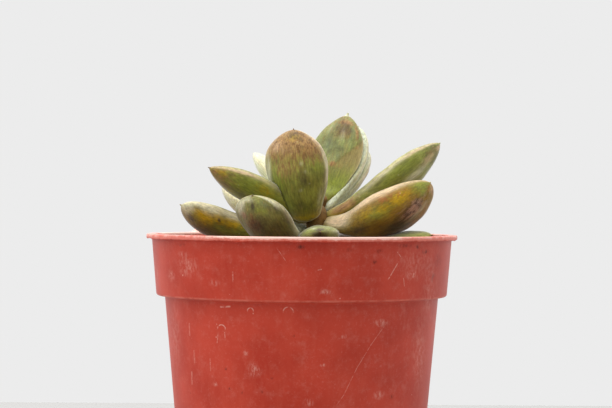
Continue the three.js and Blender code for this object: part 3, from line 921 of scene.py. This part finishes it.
# %% Add nodes and join them
def paint(red, green, blue):
    """A colour as seen on a screen, as amounts of light: below 11 divided by 3295, else a power of 2.4."""
    seen = np.array([red, green, blue]) / 255
    light = np.where(seen < 0.04045, seen / 12.92, ((seen + 0.055) / 1.055) ** 2.4)
    return (*light.tolist(), 1.0)


def fill(tree, node, sockets):
    """Sets each socket of a node to a number or a colour, or joins it to another node's first output."""
    for name, value in sockets.items():
        if isinstance(value, bpy.types.Node):
            value = next(output for output in value.outputs if output.enabled)
        if isinstance(value, bpy.types.NodeSocket):
            tree.links.new(value, node.inputs[name])
        else:
            node.inputs[name].default_value = value


def add_node(tree, kind, sockets=None, **settings):
    """Adds a node with these settings, and fills its sockets."""
    node = tree.nodes.new(kind)
    for name, value in settings.items():
        setattr(node, name, value)
    fill(tree, node, sockets or {})
    return node


print("A mid brick red is", [round(part, 3) for part in paint(173, 66, 50)])

# %% [markdown]
# Most of a finish is masks, numbers from nought to one that say where a colour shows. They come from clouds
# of noise, from places, or from the numbers at the piece's points. Map Range nodes sharpen them, Math nodes
# put them together, and a Mix node lays one colour over another.

# %% Helpers for masks and colours
def math_node(tree, how, *values):
    """A Math node, such as ADD or SUBTRACT, on these values."""
    return add_node(tree, "ShaderNodeMath", dict(enumerate(values)), operation=how)


def times(tree, first, second):
    """One value times another: of two masks, what both have."""
    return math_node(tree, "MULTIPLY", first, second)


def vector_node(tree, how, *values, **named):
    """A Vector Math node, such as SUBTRACT or LENGTH, on these values."""
    return add_node(tree, "ShaderNodeVectorMath", {**dict(enumerate(values)), **named}, operation=how)


def even(tree, value, low, high, start=0.0, end=1.0):
    """A number that goes evenly from start to end as the value goes from low to high."""
    sockets = {"Value": value, "From Min": low, "From Max": high, "To Min": start, "To Max": end}
    return add_node(tree, "ShaderNodeMapRange", sockets)


def soft(tree, value, low, high):
    """A mask that is nought where the value is low and one where it is high, with an S between."""
    sockets = {"Value": value, "From Min": low, "From Max": high}
    return add_node(tree, "ShaderNodeMapRange", sockets, interpolation_type="SMOOTHSTEP")


def noise(tree, where, scale, detail, roughness):
    """A cloud of values round a half, at this many waves in a millimetre."""
    sockets = {"Vector": where, "Scale": scale, "Detail": detail, "Roughness": roughness}
    return add_node(tree, "ShaderNodeTexNoise", sockets)


def stretched(tree, where, scale):
    """Coordinates scaled each way, so that a pattern on them is drawn out where the scale is small."""
    return add_node(tree, "ShaderNodeMapping", {"Vector": where, "Scale": scale}).outputs[0]


def mask_of(tree, name):
    """A mask that a piece's points carry."""
    return add_node(tree, "ShaderNodeAttribute", attribute_name=name).outputs["Fac"]


def over(tree, mask, below, above):
    """The colour above laid over the colour below, as strongly as the mask says."""
    return add_node(tree, "ShaderNodeMix", {0: mask, 6: below, 7: above}, data_type="RGBA").outputs[2]


def lay(tree, below, mask, colour, strength=1.0, within=None):
    """A colour laid over another, where the mask says, at this strength, and only within a second mask."""
    if within is not None:
        mask = times(tree, mask, within)
    if strength != 1.0:
        mask = times(tree, mask, strength)
    return over(tree, mask, below, colour)


print("Layers go on in order, the later over the earlier")

# %% [markdown]
# An effect that turns up again and again becomes a node group with named inputs, made once and used with its
# own values each time. A finish itself starts as one shader, with the piece's coordinates in millimetres.

# %% Start a group, use a group, start a finish
def new_group(name, vectors, numbers, output="Mask"):
    """A node group: its vector inputs, its numbers with their usual values, and its one output."""
    tree = bpy.data.node_groups.new(name, "ShaderNodeTree")
    for label in vectors:
        tree.interface.new_socket(label, in_out="INPUT", socket_type="NodeSocketVector")
    for label, usual in numbers.items():
        socket = tree.interface.new_socket(label, in_out="INPUT", socket_type="NodeSocketFloat")
        socket.default_value = usual
    kind = "NodeSocketVector" if output == "Normal" else "NodeSocketFloat"
    tree.interface.new_socket(output, in_out="OUTPUT", socket_type=kind)
    return tree, tree.nodes.new("NodeGroupInput").outputs, tree.nodes.new("NodeGroupOutput")


def use(tree, group, **sockets):
    """Places a group in a finish with its own values, and gives its output."""
    return add_node(tree, "ShaderNodeGroup", sockets, node_tree=group).outputs[0]


def new_finish(name):
    """An empty finish with its shader, and the piece's own coordinates in millimetres."""
    material = bpy.data.materials.new(name)
    material.use_nodes = True
    tree = material.node_tree
    shader = next(node for node in tree.nodes if node.type == "BSDF_PRINCIPLED")
    coordinates = add_node(tree, "ShaderNodeTexCoord").outputs["Object"]
    return material, tree, shader, vector_node(tree, "SCALE", coordinates, Scale=1 / MM).outputs[0]


def finish(pieces, material, tree, shader, sockets):
    """Fills the shader's sockets and puts the finish on the pieces."""
    fill(tree, shader, sockets)
    for piece in pieces:
        piece.data.materials.append(material)
    print("The finish", material.name, "has", len(tree.nodes), "nodes")


print("A finish's coordinates are scaled by", round(1 / MM))

# %% [markdown]
# Patches are soft clouds. Specks are small spots, each of a different size, at the points of a Voronoi
# pattern. Ragged tears the smooth border of a mask, as a real stain has. Relief is the fine unevenness that
# only shows as light and shade, so it is a bump.

# %% Shared effects
patches, given, result = new_group(
    "patches", ["Vector"], {"Scale": 0.2, "Low": 0.4, "High": 0.6, "Ragged": 0.55},
)
cloud = noise(patches, given["Vector"], given["Scale"], 5.0, given["Ragged"])
fill(patches, result, {"Mask": soft(patches, cloud, given["Low"], given["High"])})

specks, given, result = new_group("specks", ["Vector"], {"Scale": 0.5, "Size": 0.3, "Share": 0.5})
cells = add_node(specks, "ShaderNodeTexVoronoi", {
    "Vector": given["Vector"], "Scale": given["Scale"], "Randomness": 1.0,
})
chance = add_node(specks, "ShaderNodeSeparateColor", {0: cells.outputs["Color"]})
chosen = math_node(specks, "LESS_THAN", chance.outputs[0], given["Share"])
reach = times(specks, chance.outputs[1], given["Size"])
spot = even(specks, cells.outputs["Distance"], reach, times(specks, reach, 0.4))
fill(specks, result, {"Mask": times(specks, spot, chosen)})

ragged, given, result = new_group("ragged", ["Vector"], {"Mask": 0.0, "Scale": 0.6, "Amount": 0.7})
torn = noise(ragged, given["Vector"], given["Scale"], 6.0, 0.7)
shift = times(ragged, math_node(ragged, "SUBTRACT", torn, 0.5), given["Amount"])
shifted = math_node(ragged, "ADD", shift, given["Mask"])
fill(ragged, result, {"Mask": soft(ragged, shifted, 0.05, 0.95)})

relief, given, result = new_group(
    "relief", ["Vector"], {"Scale": 1.0, "Dents": 0.0, "Strength": 0.3, "Depth": 0.0001}, output="Normal",
)
grain = noise(relief, given["Vector"], given["Scale"], 4.0, 0.6)
bump = add_node(relief, "ShaderNodeBump", {
    "Strength": given["Strength"], "Distance": given["Depth"],
    "Height": math_node(relief, "SUBTRACT", grain, given["Dents"]),
})
fill(relief, result, {"Normal": bump})
print("Shared effects:", ", ".join(group.name for group in bpy.data.node_groups))

# %% [markdown]
# Each effect gets a short name of its own for use in the finishes, with its values in a fixed order. A patchy
# mask is cut from its cloud between a low and a high value, so close values give a hard border.

# %% Short names for the effects
def patchy(tree, where, scale, low, high, torn=0.55):
    """The mask of the group patches."""
    return use(tree, patches, Vector=where, Scale=scale, Low=low, High=high, Ragged=torn)


def speckled(tree, where, scale, size, share):
    """The mask of the group specks."""
    return use(tree, specks, Vector=where, Scale=scale, Size=size, Share=share)


def torn_mask(tree, name, where, scale, amount):
    """A mask that the piece's points carry, with its border torn."""
    return use(tree, ragged, Mask=mask_of(tree, name), Vector=where, Scale=scale, Amount=amount)


def uneven(tree, where, scale, strength, depth, dents=0.0):
    """The slightly uneven normal that the group relief gives."""
    return use(tree, relief, Vector=where, Scale=scale, Strength=strength, Depth=depth, Dents=dents)


print("A patch of scale 0.16 is about", round(1 / 0.16), "mm across")

# %% [markdown]
# A leaf's skin is olive green under a thin pale powder. The finish starts from the flesh and lays the other
# colours over it, as they lie on the plant. First come grey-green and ochre, the pale young flesh at the
# root, fresh green, bronze with fine dark needles along the leaf, gold, dark stains together with painted
# shade on leaves that lie under others and near the tallest leaf's incurved tip, rust, and the flat that lies
# past a crease. Streaks use each point's place in its own leaf, stretched along it, and the rest uses the
# piece's own coordinates.

# %% The leaves' flesh and stains
leaf_finish, tree, shader, where = new_finish("leaf_skin")
own = add_node(tree, "ShaderNodeAttribute", attribute_name="leaf_place").outputs["Vector"]
long_way = stretched(tree, own, (1.0, 1.0, 0.2))
far_way = stretched(tree, own, (1.0, 1.0, 0.12))
skin = over(tree, patchy(tree, where, 0.16, 0.36, 0.64), paint(116, 114, 38), paint(152, 154, 66))
skin = lay(tree, skin, patchy(tree, long_way, 1.1, 0.38, 0.66, 0.65), paint(96, 88, 26), 0.4)
skin = lay(tree, skin, mask_of(tree, "grey"), paint(124, 138, 96), 0.9)
skin = lay(tree, skin, torn_mask(tree, "ochre", long_way, 0.8, 0.9), paint(144, 106, 24), 0.9)
skin = lay(tree, skin, mask_of(tree, "young"), paint(168, 140, 62), 0.6)
skin = lay(tree, skin, torn_mask(tree, "green", long_way, 0.9, 1.0), paint(138, 148, 56), 0.9)
skin = lay(tree, skin, torn_mask(tree, "bronze", long_way, 1.6, 1.6), paint(172, 130, 84), 0.9)
needles = patchy(tree, long_way, 1.6, 0.47, 0.58, 0.7)
skin = lay(tree, skin, needles, paint(100, 66, 24), 0.8, within=mask_of(tree, "bronze"))
skin = lay(tree, skin, torn_mask(tree, "gold", where, 0.9, 1.2), paint(196, 164, 36), 0.9)
# The dark mask holds real dark stains and also painted shade on leaves that lie under others.
skin = lay(tree, skin, torn_mask(tree, "dark", where, 0.8, 0.9), paint(52, 36, 10), 0.85)
rust_spots = patchy(tree, where, 0.9, 0.44, 0.54)
skin = lay(tree, skin, mask_of(tree, "rust"), paint(150, 88, 36), 0.85, within=rust_spots)
skin = lay(tree, skin, mask_of(tree, "facet"), paint(164, 138, 94), 0.6)
print("So far the leaves' finish has", len(tree.nodes), "nodes")

# %% [markdown]
# Over these lie the cracked brown scar, the powder where it isn't rubbed off, pale and pinkish margins and
# patches, painted rim light along the margins, fine freckles and chips, and the dark hard point. On some
# leaves the powder and the pale and pink marks are partly painted glow of light from behind or from above.
# Last, a fine grain along the leaf makes all of it a little lighter and darker.

# %% The leaves' scar, powder and grain
cracks = patchy(tree, far_way, 1.3, 0.44, 0.56, 0.65)
scar = torn_mask(tree, "scar", long_way, 0.6, 1.0)
skin = over(tree, scar, skin, over(tree, cracks, paint(88, 60, 44), paint(176, 142, 116)))
mottle = patchy(tree, where, 0.7, 0.34, 0.68, 0.7)
powder = times(tree, mask_of(tree, "powder"), soft(tree, mottle, 2.0, 0.0))
skin = lay(tree, skin, powder, paint(218, 224, 202), 0.9)
# The pale and pink masks are partly the leaves' own colour and partly painted glow of light from behind and
# from above.
skin = lay(tree, skin, torn_mask(tree, "pale", long_way, 0.6, 0.8), paint(214, 212, 180), 0.8)
skin = lay(tree, skin, torn_mask(tree, "pink", long_way, 0.6, 0.8), paint(224, 192, 158), 0.75)
# Painted rim light: a pale colour along the margins, where light glances off the edges.
skin = lay(tree, skin, mask_of(tree, "rim_light"), paint(226, 210, 174), 0.7)
skin = lay(tree, skin, speckled(tree, where, 1.1, 0.3, 0.3), paint(100, 66, 30), 0.35)
skin = lay(tree, skin, speckled(tree, where, 0.55, 0.22, 0.22), paint(206, 204, 160), 0.3)
skin = lay(tree, skin, mask_of(tree, "point"), paint(92, 50, 28), 0.9)
lighter = even(tree, noise(tree, long_way, 1.9, 5.0, 0.65), 0.3, 0.7, 0.66, 1.34)
skin = add_node(tree, "ShaderNodeHueSaturation", {"Saturation": 1.06, "Value": lighter, "Color": skin})
print("Now it has", len(tree.nodes), "nodes")

# %% [markdown]
# The shader is dull, and unevenly so, by the same mottle that thins the powder. Its sheen is the pale haze
# that powder shows at a glancing angle, and the flesh lets a little light through below the skin.

# %% The leaves' finish
finish(leaf_pieces, leaf_finish, tree, shader, {
    "Base Color": skin,
    "Roughness": even(tree, mottle, 0.0, 1.0, 0.5, 0.66),
    "Normal": uneven(tree, where, 1.2, 0.45, 0.0003, times(tree, cracks, scar)),
    "Subsurface Weight": 0.15,
    "Subsurface Radius": (0.8, 0.9, 0.3),
    "Subsurface Scale": 0.002,
    "Specular IOR Level": 0.3,
    "Sheen Weight": 0.6,
    "Sheen Roughness": 0.4,
})

# %% [markdown]
# The stem's skin has gone brown and corky, in lighter and darker patches with dark specks. It shows only
# between the leaf roots, so two of the shared effects and a rough relief are enough.

# %% The stem's finish
stem_finish, tree, shader, where = new_finish("stem_skin")
bark = over(tree, patchy(tree, where, 0.5, 0.35, 0.65), paint(90, 62, 20), paint(132, 98, 44))
bark = over(tree, speckled(tree, where, 1.1, 0.4, 0.5), bark, paint(72, 50, 28))
bumpy = uneven(tree, where, 1.8, 0.6, 0.0003)
finish([stem_piece], stem_finish, tree, shader, {"Base Color": bark, "Roughness": 0.72, "Normal": bumpy})

# %% [markdown]
# The pot's plastic is brick red, with a dull sheen. Handling has left its own marks on the front, and three
# groups draw them. A scratch is a straight thin line: it measures how far each point lies from a line
# between two places. A scuff is a rubbed patch, streaked upright as the plastic was when it left the mould.
# A splash is the dried upper edge of a drop: part of a thin ring round its middle.

# %% Scratches, scuffs and splashes
scratch, given, result = new_group("scratch", ["Vector", "From", "To"], {"Width": 0.2})
run = vector_node(scratch, "SUBTRACT", given["To"], given["From"]).outputs[0]
away = vector_node(scratch, "SUBTRACT", given["Vector"], given["From"]).outputs[0]
reached = vector_node(scratch, "DOT_PRODUCT", away, run).outputs["Value"]
share = math_node(scratch, "DIVIDE", reached, vector_node(scratch, "DOT_PRODUCT", run, run).outputs["Value"])
share.use_clamp = True
foot = vector_node(scratch, "SCALE", run, Scale=share.outputs[0]).outputs[0]
gap = vector_node(scratch, "DISTANCE", away, foot).outputs["Value"]
fill(scratch, result, {"Mask": soft(scratch, gap, given["Width"], 0.0)})

scuff, given, result = new_group("scuff", ["Vector", "Middle", "Reach"], {})
away = vector_node(scuff, "SUBTRACT", given["Vector"], given["Middle"]).outputs[0]
far = vector_node(scuff, "LENGTH", vector_node(scuff, "DIVIDE", away, given["Reach"]).outputs[0])
fibres = noise(scuff, stretched(scuff, given["Vector"], (1.0, 1.0, 0.35)), 1.5, 6.0, 0.72)
near = soft(scuff, far.outputs["Value"], 1.2, 0.0)
fill(scuff, result, {"Mask": times(scuff, near, soft(scuff, fibres, 0.42, 0.62))})

splash, given, result = new_group("splash", ["Vector", "Middle"], {"Radius": 1.0, "Width": 0.2})
away = vector_node(splash, "SUBTRACT", given["Vector"], given["Middle"]).outputs[0]
far = vector_node(splash, "LENGTH", away).outputs["Value"]
off = math_node(splash, "ABSOLUTE", math_node(splash, "SUBTRACT", far, given["Radius"]))
upper = soft(splash, add_node(splash, "ShaderNodeSeparateXYZ", {0: away}).outputs["Z"], -0.4, 0.5)
fill(splash, result, {"Mask": times(splash, soft(splash, off, given["Width"], 0.0), upper)})
print("Marks that the pot can carry:", scratch.name, scuff.name, splash.name)

# %% [markdown]
# The marks' places are given on the pot's front, as they are seen from there: x to the right and z up, both
# in millimetres. Dark patches are drawn by the same group as a scuff, only darker; several lie in a row just
# under the lip.

# %% Marks on the pot, given one by one
SCRATCHES = [  # x and z at one end and at the other, in millimetres on the pot's front, width, strength
    ((26.2, 71.2), (23.5, 66.7), 0.22, 0.55), ((25.9, 73.9), (27.1, 72.3), 0.16, 0.5),
    ((27.7, 66.8), (28.0, 64.6), 0.16, 0.45), ((-18.5, 68.4), (-18.4, 65.8), 0.3, 0.35),
    ((-40.8, 67.8), (-40.9, 65.2), 0.25, 0.4), ((4.4, 69.2), (5.3, 69.4), 0.18, 0.5),
    ((-6.6, 75.0), (-4.0, 71.3), 0.16, 0.35), ((-21.8, 58.7), (-19.4, 58.9), 0.35, 0.7),
    ((-22.6, 51.6), (-22.9, 48.8), 0.18, 0.4), ((-20.8, 51.8), (-20.6, 49.7), 0.18, 0.4),
    ((23.4, 54.8), (18.9, 48.7), 0.16, 0.3), ((18.9, 48.7), (15.1, 42.5), 0.16, 0.3),
    ((15.1, 42.5), (11.6, 35.3), 0.16, 0.35), ((11.6, 35.3), (9.7, 32.6), 0.16, 0.3),
    ((-29.6, 46.0), (-29.4, 42.8), 0.3, 0.3), ((-24.9, 44.2), (-24.8, 41.0), 0.3, 0.3),
    ((-30.3, 40.0), (-30.2, 36.6), 0.3, 0.3), ((-31.0, 53.5), (-30.9, 50.2), 0.3, 0.25),
]
SCUFFS = [  # x and z of the middle, how far it reaches each way, strength
    ((-31.2, 69.6), (3.6, 3.4), 0.35), ((-32.6, 72.8), (1.6, 1.0), 0.3), ((-36.1, 66.6), (1.4, 1.8), 0.35),
    ((-23.5, 65.3), (1.8, 1.2), 0.3), ((30.8, 71.1), (6.0, 4.6), 0.2), ((30.0, 67.6), (2.0, 1.3), 0.55),
    ((6.4, 63.4), (2.2, 0.9), 0.5), ((-12.7, 41.9), (2.2, 2.2), 0.5), ((-14.9, 46.4), (0.9, 0.9), 0.5),
    ((21.7, 54.6), (2.4, 1.2), 0.6), ((21.2, 34.8), (1.8, 1.4), 0.45), ((2.1, 33.3), (1.6, 1.2), 0.4),
    ((5.9, 43.5), (1.0, 0.6), 0.5), ((11.6, 51.1), (1.0, 0.7), 0.5), ((-23.5, 37.4), (0.8, 0.8), 0.5),
    ((35.5, 63.0), (2.5, 12.0), 0.2), ((33.0, 45.0), (2.5, 12.0), 0.25), ((-36.0, 48.0), (3.0, 14.0), 0.2),
]
SPLASHES = [  # x and z of the middle, radius, width, strength
    ((-13.7, 57.9), 0.8, 0.22, 0.7), ((-3.5, 57.8), 1.35, 0.22, 0.6), ((-21.7, 52.7), 1.1, 0.22, 0.7),
]
DARK_PATCHES = [  # x and z of the middle, how far it reaches each way, strength
    ((19.6, 71.3), (0.8, 0.7), 1.0), ((34.1, 73.8), (1.5, 0.8), 1.0), ((32.0, 75.2), (1.1, 0.7), 1.0),
    ((-0.5, 75.3), (1.9, 0.8), 0.9), ((20.9, 74.3), (1.1, 0.8), 0.8), ((24.9, 34.0), (0.9, 0.8), 0.6),
    ((12.5, 74.6), (1.6, 0.7), 0.6), ((36.6, 66.5), (1.0, 1.6), 0.5), ((38.0, 71.0), (1.4, 2.4), 0.4),
    ((28.0, 75.6), (2.4, 0.7), 0.5), ((-33.0, 75.4), (2.0, 0.7), 0.4),
    ((-20.4, 41.8), (0.5, 0.5), 0.8), ((-19.3, 36.4), (0.5, 0.5), 0.8), ((-16.0, 35.5), (0.5, 0.5), 0.8),
    ((-10.5, 36.0), (0.5, 0.5), 0.8), ((-7.8, 39.9), (0.5, 0.5), 0.8), ((-2.1, 51.4), (0.5, 0.5), 0.8),
]
print(len(SCRATCHES) + len(SCUFFS) + len(SPLASHES) + len(DARK_PATCHES), "marks placed by hand on the pot")

# %% [markdown]
# The plastic's own colour comes first: a red that drifts a little, paler streaks left by the mould, and dust.
# Over them lies a faint pale haze that thickens to the right: a painted reflection, broken up by the dust.

# %% The pot's plastic
CHALK = paint(236, 188, 172)
pot_finish, tree, shader, where = new_finish("pot_plastic_scuffed")
spot_at = add_node(tree, "ShaderNodeSeparateXYZ", {0: where}).outputs
red = over(tree, patchy(tree, where, 0.07, 0.3, 0.7), paint(182, 54, 35), paint(200, 68, 48))
mould_way = stretched(tree, where, (1.0, 1.0, 0.12))
red = lay(tree, red, patchy(tree, mould_way, 0.35, 0.45, 0.75, 0.7), paint(200, 86, 66), 0.3)
dust = patchy(tree, where, 0.35, 0.48, 0.78, 0.7)
red = lay(tree, red, dust, CHALK, 0.10)
red = lay(tree, red, patchy(tree, where, 1.3, 0.52, 0.8, 0.75), CHALK, 0.14)
# Painted reflection: a faint pale haze that grows towards the right side, broken up by the dust pattern.
painted_haze = times(tree, soft(tree, spot_at["X"], 0.0, 38.0), soft(tree, dust, -0.6, 0.6))
red = lay(tree, red, painted_haze, paint(196, 150, 140), 0.08)
print("So far the pot's finish has", len(tree.nodes), "nodes")

# %% [markdown]
# Then come the marks, each only on the front. Their groups read flattened coordinates, in which the depth is
# nought everywhere, so that a mark's place needs only its x and its z. Specks of peat and light bits go all
# the way round.

# %% The marks on the pot
flat_way = stretched(tree, where, (1.0, 0.0, 1.0))
front = soft(tree, spot_at["Y"], -8.0, -16.0).outputs[0]
broken = times(tree, front, patchy(tree, where, 1.1, 0.36, 0.56, 0.7))
for (x0, z0), (x1, z1), width, strength in SCRATCHES:
    line = use(tree, scratch, Vector=flat_way, From=(x0, 0.0, z0), To=(x1, 0.0, z1), Width=width)
    red = lay(tree, red, line, CHALK, strength, within=broken)
for (x, z), (across, up), strength in SCUFFS:
    patch = use(tree, scuff, Vector=flat_way, Middle=(x, 0.0, z), Reach=(across, 1.0, up))
    red = lay(tree, red, patch, CHALK, strength, within=front)
for (x, z), radius, width, strength in SPLASHES:
    ring = use(tree, splash, Vector=flat_way, Middle=(x, 0.0, z), Radius=radius, Width=width)
    red = lay(tree, red, ring, CHALK, strength, within=broken)
for (x, z), (across, up), strength in DARK_PATCHES:
    patch = use(tree, scuff, Vector=flat_way, Middle=(x, 0.0, z), Reach=(across, 1.0, up))
    red = lay(tree, red, patch, paint(74, 28, 20), strength, within=front)
red = lay(tree, red, speckled(tree, where, 0.16, 0.09, 0.35), paint(96, 36, 26), 0.7)
red = lay(tree, red, speckled(tree, where, 0.3, 0.10, 0.25), CHALK, 0.5)
print("With its marks it has", len(tree.nodes), "nodes")

# %% [markdown]
# Edges are pale. The step's edge is a thin broken pale line, a painted highlight. The lip is a lighter red
# with a torn lower border, and its upper half is chalky: all along the middle of the front, and in patches
# over the rest. The lip's pale is partly wear and partly painted highlight on its rounded upper edge. Noise
# added to the height tears both borders.

# %% The pale edges, partly painted highlight, and the pot's finish
STEP_EDGE = STEP + 0.35
# Between these heights the lip turns lighter, then chalky: partly wear, partly painted highlight.
WEAR_AND_HIGHLIGHT_FROM, WEAR_AND_HIGHLIGHT_FULL = 77.3, 77.6  # torn heights between which the lip turns lighter
CHALK_AND_HIGHLIGHT_FROM, CHALK_AND_HIGHLIGHT_FULL = 77.8, 78.1  # torn heights between which it turns chalky
from_step = math_node(tree, "ABSOLUTE", math_node(tree, "SUBTRACT", spot_at["Z"], STEP_EDGE))
# The step's thin pale line is a painted highlight, broken into patches.
step_highlight = patchy(tree, where, 0.3, 0.3, 0.6)
red = lay(tree, red, soft(tree, from_step, 0.4, 0.1), paint(226, 128, 108), 0.5, within=step_highlight)
tear = times(tree, noise(tree, where, 0.6, 5.0, 0.7), 1.2)
torn_height = math_node(tree, "ADD", spot_at["Z"], tear)
# The lip's lighter red all round, and the chalk that follows, are partly wear and partly painted highlight.
red = lay(tree, red, soft(tree, torn_height, WEAR_AND_HIGHLIGHT_FROM, WEAR_AND_HIGHLIGHT_FULL), paint(226, 128, 112), 0.75)
sideways = math_node(tree, "ABSOLUTE", math_node(tree, "SUBTRACT", spot_at["X"], 2.0))
middle = times(tree, soft(tree, sideways, 30.0, 18.0), front)
elsewhere = times(tree, patchy(tree, where, 0.06, 0.44, 0.6), math_node(tree, "SUBTRACT", 0.8, front))
chalk_and_highlight = math_node(tree, "MAXIMUM", middle, elsewhere)
chalk_and_highlight = math_node(tree, "ADD", chalk_and_highlight, times(tree, patchy(tree, where, 0.45, 0.4, 0.6, 0.7), 0.5))
chalk_and_highlight = times(tree, soft(tree, torn_height, CHALK_AND_HIGHLIGHT_FROM, CHALK_AND_HIGHLIGHT_FULL), chalk_and_highlight)
chalk_and_highlight.use_clamp = True
red = lay(tree, red, chalk_and_highlight, paint(250, 208, 194), 0.85)
finish([pot_piece], pot_finish, tree, shader, {
    "Base Color": red,
    "Roughness": even(tree, dust, 0.0, 1.0, 0.46, 0.66),
    "Normal": uneven(tree, where, 2.5, 0.12, 0.0001),
    "Specular IOR Level": 0.2,
})

# %% [markdown]
# Potting mix is nearly black where it is peat. A crumb's tone is a number from nought to one that chance gave
# it: the highest are pale grit, and those somewhat lower are brown bark.

# %% The soil's finish
soil_finish, tree, shader, where = new_finish("potting_mix")
mix = over(tree, patchy(tree, where, 0.6, 0.3, 0.7, 0.7), paint(42, 28, 20), paint(82, 58, 40))
mix = over(tree, soft(tree, mask_of(tree, "tone"), 0.9, 0.97), mix, paint(168, 150, 126))
mix = lay(tree, mix, soft(tree, mask_of(tree, "tone"), 0.55, 0.8), paint(104, 70, 44), 0.5)
bumpy = uneven(tree, where, 2.0, 0.8, 0.0004)
finish([soil_piece], soil_finish, tree, shader, {"Base Color": mix, "Roughness": 0.92, "Normal": bumpy})

# %% [markdown]
# The pot stands near the far edge of a pale table, before a plain pale wall. The table is one flat sheet.

# %% The table
TABLE_SIDE, TABLE_BACK = 1.6, 0.257  # metres to its sides and front, and to its far edge
corners = [(-TABLE_SIDE, -TABLE_SIDE, 0), (TABLE_SIDE, -TABLE_SIDE, 0)]
corners += [(TABLE_SIDE, TABLE_BACK, 0), (-TABLE_SIDE, TABLE_BACK, 0)]
table = bpy.data.meshes.new("table_top")
table.from_pydata(corners, [], [(0, 1, 2, 3)])
table_piece = bpy.data.objects.new("table_top", table)
bpy.context.scene.collection.objects.link(table_piece)
table_finish, tree, shader, _ = new_finish("table_paint")
finish([table_piece], table_finish, tree, shader, {"Base Color": paint(166, 165, 163), "Roughness": 0.6})

# %% [markdown]
# The wall is only the light all round. The camera sees it as an even pale grey, but it lights the plant more
# from behind and from above than from the front, so that the leaves' edges glow a little.

# %% The light all round
FRONT_LIGHT, BACK_LIGHT, TOP_LIGHT = 0.34, 1.35, 0.9
WALL = paint(236, 236, 236)
world = bpy.data.worlds.new("pale_room")
bpy.context.scene.world = world
world.use_nodes = True
tree = world.node_tree
background = next(node for node in tree.nodes if node.type == "BACKGROUND")
way = add_node(tree, "ShaderNodeTexCoord").outputs["Generated"]
ways = add_node(tree, "ShaderNodeSeparateXYZ", {0: way}).outputs
behind = even(tree, ways["Y"], -0.6, 0.8, FRONT_LIGHT, BACK_LIGHT)
above = even(tree, ways["Z"], 0.1, 0.9, 0.0, TOP_LIGHT)
lit = math_node(tree, "ADD", behind, above)
by_camera = add_node(tree, "ShaderNodeLightPath").outputs["Is Camera Ray"]
seen = add_node(tree, "ShaderNodeMix", {0: by_camera, 2: lit, 3: 1.0}, data_type="FLOAT")
fill(tree, background, {"Color": WALL, "Strength": seen})
print("The wall is seen as", [round(part, 2) for part in WALL[:3]])

# %% [markdown]
# One broad soft light hangs almost overhead, a little to the front and left, which brightens the upper faces
# and the lip. A second, weaker one stands on the left.

# %% The two lamps
def soft_box(name, stands, aim, size, power):
    """A flat square lamp that shines evenly from its whole face towards the point that it is aimed at."""
    lamp = bpy.data.lights.new(name, "AREA")
    lamp.shape = "SQUARE"
    lamp.size = size
    lamp.energy = power
    piece = bpy.data.objects.new(name, lamp)
    bpy.context.scene.collection.objects.link(piece)
    piece.location = stands
    piece.rotation_mode = "QUATERNION"
    piece.rotation_quaternion = (Vector(stands) - Vector(aim)).to_track_quat("Z", "Y")
    print(name, "is", size, "m wide and has", power, "watts")


soft_box("light_above", (-0.15, -0.1, 0.9), (0, 0, 0.08), 0.8, 6.5)
soft_box("light_left", (-0.8, -0.45, 0.4), (0, 0, 0.09), 0.6, 1.6)

# %% [markdown]
# The camera is a long lens, level with the leaves, and turned by a third of a degree as the photograph was.

# %% The camera
LENS, SENSOR = 105, 36
CAMERA_RIGHT, CAMERA_AWAY, CAMERA_UP = 1.07, 517, LIP + 8.76
CAMERA_TURN = -0.37
camera = bpy.data.cameras.new("camera")
camera.lens = LENS
camera.sensor_width = SENSOR
camera_piece = bpy.data.objects.new("camera", camera)
camera_piece.location = (CAMERA_RIGHT * MM, -CAMERA_AWAY * MM, CAMERA_UP * MM)
camera_piece.rotation_euler = (math.radians(90), math.radians(CAMERA_TURN), 0)
bpy.context.scene.collection.objects.link(camera_piece)
bpy.context.scene.camera = camera_piece
bpy.context.scene.view_settings.view_transform = "Standard"
print("The camera stands", CAMERA_AWAY, "mm in front of the pot's middle")
